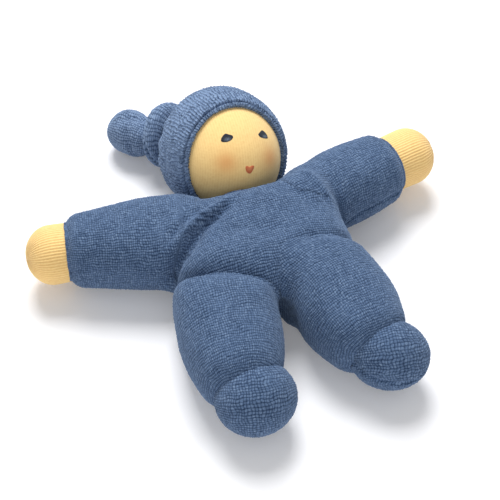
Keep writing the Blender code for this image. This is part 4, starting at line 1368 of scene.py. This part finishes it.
@dataclass
class Cap:
    """The cap: a crown, a stitched brim, and the tied knot with its tip."""

    wardrobe: Wardrobe
    face: tuple[float, float] = (28.5, 2.3)
    opening: float = math.radians(67.5)
    squeeze: float = math.radians(4.0)
    knit_radius: float = 38.8
    loop_height: float = 1.5
    strand: float = 0.6
    gathers: int = 13
    gather_height: float = 0.8
    knot_pull: float = 1.2
    side_swell: float = 2.0
    side_way: Point = (-0.97, 0.05, -0.24)
    edge_tuck: float = 2.6
    dimples: int = 6
    dimple_depth: float = 1.0
    lip_depth: float = 2.2
    tuft_height: float = 0.9
    stitch_depth: float = 2.3
    hem_depth: float = 1.5
    swell_height: float = 0.7
    knot_middle: Point = (0.3, 0.8, 0.7)
    knot_girth: tuple[float, ...] = (20.0, 22.0, 21.0, 14.5)
    tip_limb: Limb = Limb((-27.4, 128.2, 17.6), (-54.4, 153.4, 14.8), (9.4, 13.2, 14.6, 13.6, 12.0),
                          (9.0, 13.2, 14.4, 14.4, 13.0), 8.0, 13.0, 2.0, 2.2)

    def build(self) -> None:
        """Builds the four pieces."""
        self.crown()
        self.brim()
        self.knot()
        self.tip()

    def lay(self, name: str, node: str, bends: Array, lift: Callable[..., Array], count: int, seed: int) -> None:
        """Lays cloth over the cap between two openings from the face's direction.

        Args:
            name: The piece's name.
            node: The CAD node that it stands for.
            bends: Angles from the face's direction.
            lift: How far the cloth lies off the cap's surface, from bends, turns and directions.
            count: Points round the face.
            seed: Seed of the loops.
        """
        face = face_way(*self.face)
        up = unit(np.cross(face, HEAD_SIDE))
        turns = np.linspace(0, math.tau, count, endpoint=False)
        bend, turn = np.meshgrid(bends, turns, indexing="ij")
        angle = bend - self.squeeze * np.cos(turn) ** 2 * smooth_step(-bend, -2.4, -1.2)
        ways = (np.cos(angle)[..., None] * face + np.sin(angle)[..., None]
                * (np.cos(turn)[..., None] * HEAD_SIDE + np.sin(turn)[..., None] * up))
        points = cast(cap_field, np.asarray(CHEEKS.centre), ways, SHORT_REACH, FINE_HALVINGS)
        points = points + ways * lift(bend, turn, ways)[..., None]
        cloth = Cloth(points, turn * CAP_WALES * ROW_PITCH / math.tau, bend * self.knit_radius, True)
        terry(cloth, seed, self.loop_height, strand=self.strand)
        piece = build_mesh(name, cloth, CHEEKS.centre)
        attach(piece, "head")
        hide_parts(node)
        self.wardrobe.dress(piece, Slot.CAP)

    def crown(self) -> None:
        """Builds the crown, gathered towards the knot."""
        level = unit(np.cross(KNOT_WAY, face_way(*self.face)))
        other = np.cross(KNOT_WAY, level)
        start = self.opening + 0.10

        def lift(bend: Array, turn: Array, ways: Array) -> Array:
            """How far the crown's cloth lies off the cap: swells, gathers, the tuck and the dimples."""
            round_knot = np.arctan2(ways @ other, ways @ level)
            from_knot, from_side = (np.arccos(np.clip(ways @ np.asarray(way), -1, 1))
                                    for way in (KNOT_WAY, self.side_way))
            pull = self.knot_pull * bell(from_knot, 0.0, 0.55) + self.side_swell * bell(from_side, 0.0, 0.4)
            fold = np.sin(round_knot * self.gathers + 0.9 * np.sin(round_knot * 3)) * bell(from_knot, 0.42, 0.3)
            dimple = bell(bend, 1.55, 0.09) * (0.5 + 0.5 * np.sin(turn * self.dimples + 1.0))
            return (pull + self.gather_height * fold - self.edge_tuck * bell(bend, start, 0.05)
                    - self.dimple_depth * dimple)

        self.lay("cap_crown_cloth", "cap_crown", np.linspace(start, math.pi - 0.002, 170), lift, 520, 41)

    def brim(self) -> None:
        """Builds the brim, a folded edge with a stitched double lip."""
        inner, outer = self.opening - 0.19, self.opening + 0.24
        fold_rows, front_rows = 7, 60
        bends = np.concatenate((np.full(fold_rows, inner + 0.02),
                                inner + (outer - inner) * np.linspace(0, 1, front_rows)))
        rise = np.concatenate((np.linspace(-3.6, -1.3, fold_rows), np.zeros(front_rows)))

        def lift(bend: Array, turn: Array, ways: Array) -> Array:
            """How far the brim's cloth lies off the cap: its fold, lip, stitches, hem and swell."""
            share = (bend - inner) / (outer - inner)
            tuft = self.tuft_height * np.abs(np.sin(turn * CAP_WALES / 2)) * bell(share, 0.0, 0.14)
            swell = self.swell_height * np.sin(math.pi * np.clip((share - 0.2) / 0.8, 0, 1)) - 0.2
            return (swell + tuft - self.lip_depth * bell(share, 0.0, 0.10)
                    - self.stitch_depth * bell(share, 0.19, 0.038)
                    - self.hem_depth * smooth_step(share, 0.86, 1.0) + rise[:, None])

        self.lay("cap_brim_cloth", "cap_brim", bends, lift, 760, 51)

    def bundle(self, name: str, node: str, limb: Limb, rings: Sequence[Point], seed: int,
               long_fold: float = 0.0) -> bpy.types.Object:
        """Builds a stuffed bundle with creases that run round it.

        Args:
            name: The piece's name.
            node: The CAD node that it stands for.
            limb: The bundle's shape.
            rings: Creases, each with its place along the limb, how far it swings and how deep it is.
            seed: Seed of the loops and lumps.
            long_fold: How deep the crease along it is.

        Returns:
            The piece.
        """
        along, side, up, length = limb.axes()

        def shape(points: Array) -> Array:
            """The bundle with its lumps and creases."""
            offset = points - np.asarray(limb.start)
            place = offset @ along / length
            turn = np.arctan2(offset @ up, offset @ side)
            total = limb.field(points) + 0.7 * waves(points, seed, 14.0)
            total = total + long_fold * bell(turn + 1.3 * place, 2.2, 0.24) * np.exp(-((place - 0.42) / 0.36) ** 4)
            for index, (middle, swing, deep) in enumerate(rings):
                line = middle + swing * np.sin(turn + index * 1.3 + 0.4)
                total = total + deep * bell(place, line, 0.085) * (0.7 + 0.3 * np.cos(turn * 2 + index))
            return total

        wrap = Wrap(limb, length * 0.45, length * 0.45, root_share=0.4, end_share=0.4)
        cloth = swapped(wrap.grid(shape, GRID_STEP, SHORT_REACH))
        terry(cloth, seed, 0.6, strand=0.12)
        piece = build_mesh(name, cloth, np.asarray(limb.start) + along * length / 2)
        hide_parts(node)
        self.wardrobe.dress(piece, Slot.CAP)
        return piece

    def knot(self) -> None:
        """Builds the tied knot."""
        middle = KNOT_CENTRE + np.array(self.knot_middle)
        limb = Limb(tuple(middle - KNOT_WAY * 10.5), tuple(middle + KNOT_WAY * 9.5), self.knot_girth,
                    self.knot_girth, 9.0, 8.0, 2.0, 2.2)
        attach(self.bundle("cap_knot_cloth", "cap_knot", limb, ((0.34, 0.36, 2.6), (0.70, 0.22, 1.6)), 61), "knot")

    def tip(self) -> None:
        """Builds the tip past the knot."""
        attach(self.bundle("cap_tip_cloth", "cap_tip", self.tip_limb, ((0.30, 0.16, 1.6),), 71, 1.5), "tip")


# The scene around the doll


def make_floor() -> None:
    """Makes the white floor; it takes the doll's shadow and shows white elsewhere."""
    mesh = bpy.data.meshes.new("floor")
    corners = [(x * FLOOR_HALF, y * FLOOR_HALF, 0) for x, y in ((-1, -1), (1, -1), (1, 1), (-1, 1))]
    mesh.from_pydata(corners, [], [(0, 1, 2, 3)])
    kit = Sockets("floor_white", 1.0, 0.0)
    seen = Value(kit, kit.node("ShaderNodeLightPath", {}, {}).outputs["Is Camera Ray"])
    for key, value in (("Base Color", FLOOR_COLOUR), ("Specular IOR Level", 0.0), ("Emission Color", WHITE),
                       ("Emission Strength", seen * FLOOR_GLOW)):
        kit.put(kit.shader.inputs[key], value)
    mesh.materials.append(kit.material)
    put_in_scene("floor", mesh)


def make_lights() -> None:
    """Makes the soft key light, the fill light and the white surroundings."""
    world = bpy.data.worlds.new("white_room")
    world.use_nodes = True
    world.node_tree.nodes["Background"].inputs["Color"].default_value = WHITE
    world.node_tree.nodes["Background"].inputs["Strength"].default_value = ROOM_STRENGTH
    bpy.context.scene.world = world
    for name, place, size, power in LIGHTS:
        lamp = bpy.data.lights.new(name, "AREA")
        lamp.size, lamp.energy = size, power
        holder = put_in_scene(name, lamp)
        holder.location = place
        holder.rotation_mode = "QUATERNION"
        holder.rotation_quaternion = (Vector(LIGHT_TARGET) - Vector(place)).to_track_quat("-Z", "Y")


def make_camera() -> None:
    """Makes the camera that saw the photograph."""
    data = bpy.data.cameras.new("camera")
    data.sensor_width, data.lens = CAMERA_SENSOR, CAMERA_LENS
    data.clip_start, data.clip_end = CAMERA_CLIP
    holder = put_in_scene("camera", data)
    back = Vector((math.sin(CAMERA_TURN) * math.cos(CAMERA_RISE), -math.cos(CAMERA_TURN) * math.cos(CAMERA_RISE),
                   math.sin(CAMERA_RISE)))
    right = Vector((math.cos(CAMERA_TURN), math.sin(CAMERA_TURN), 0))
    holder.matrix_world = Matrix((right, back.cross(right), back)).transposed().to_4x4()
    holder.location = Vector(CAMERA_TARGET) + back * CAMERA_DISTANCE
    bpy.context.scene.camera = holder


def main() -> None:
    """Builds the doll, its floor, its light and the camera."""
    logging.basicConfig(level=logging.INFO, format="%(message)s")
    scene = bpy.context.scene
    scene.view_settings.view_transform = "Standard"
    wardrobe = Wardrobe({
        Slot.SUIT: TerryFinish("suit_terry_cloth").make(),
        # The cap's terry is lighter than the suit's: its crest and highlight colours paint the light that falls on
        # the cap's top.
        Slot.CAP: TerryFinish("cap_terry_cloth", (0.007, 0.024, 0.066, 1), (0.176, 0.256, 0.408, 1),
                              (0.330, 0.435, 0.610, 1), 0.32).make(),
        Slot.SKIN: JerseyFinish("skin_jersey_cloth").make(),
        Slot.THREAD: StitchFinish("thread_cotton", (0.55, 0.46, 0.33, 1), (0.82, 0.75, 0.62, 1)).make(),
        Slot.EYE: StitchFinish("eye_stitch", (0.004, 0.006, 0.012, 1), (0.20, 0.25, 0.32, 1)).make(),
        Slot.MOUTH: StitchFinish("mouth_stitch", (0.56, 0.14, 0.055, 1), (0.76, 0.29, 0.13, 1)).make(),
    })
    Torso(wardrobe).build()
    Sleeve(wardrobe, "left", LEFT_ARM, (50.0, 55.0, 30.0, 45.0), (0.034, 0.040, 0.0267),
           (0.057, 0.040, 0.0267), 11, LEFT_HAND).build()
    Sleeve(wardrobe, "right", RIGHT_ARM, (30.0, 55.0, 50.0, 45.0), (-0.034, 0.040, 0.0267),
           (-0.057, 0.040, 0.0267), 12, RIGHT_HAND).build()
    Leg(wardrobe, "left", LEFT_LEG, (45.0, 48.0, 32.0, 40.0), (0.034, -0.010, 0.0265),
        (0.034, -0.040, 0.0265), 13, LEFT_FOOT, SOLE_SEAM).build()
    Leg(wardrobe, "right", RIGHT_LEG, (32.0, 48.0, 50.0, 40.0), (-0.034, -0.010, 0.0265),
        (-0.034, -0.042, 0.0265), 14, RIGHT_FOOT).build()
    Head(wardrobe).build()
    Cap(wardrobe).build()
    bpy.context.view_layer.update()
    make_floor()
    make_lights()
    make_camera()


if __name__ == "__main__":
    main()
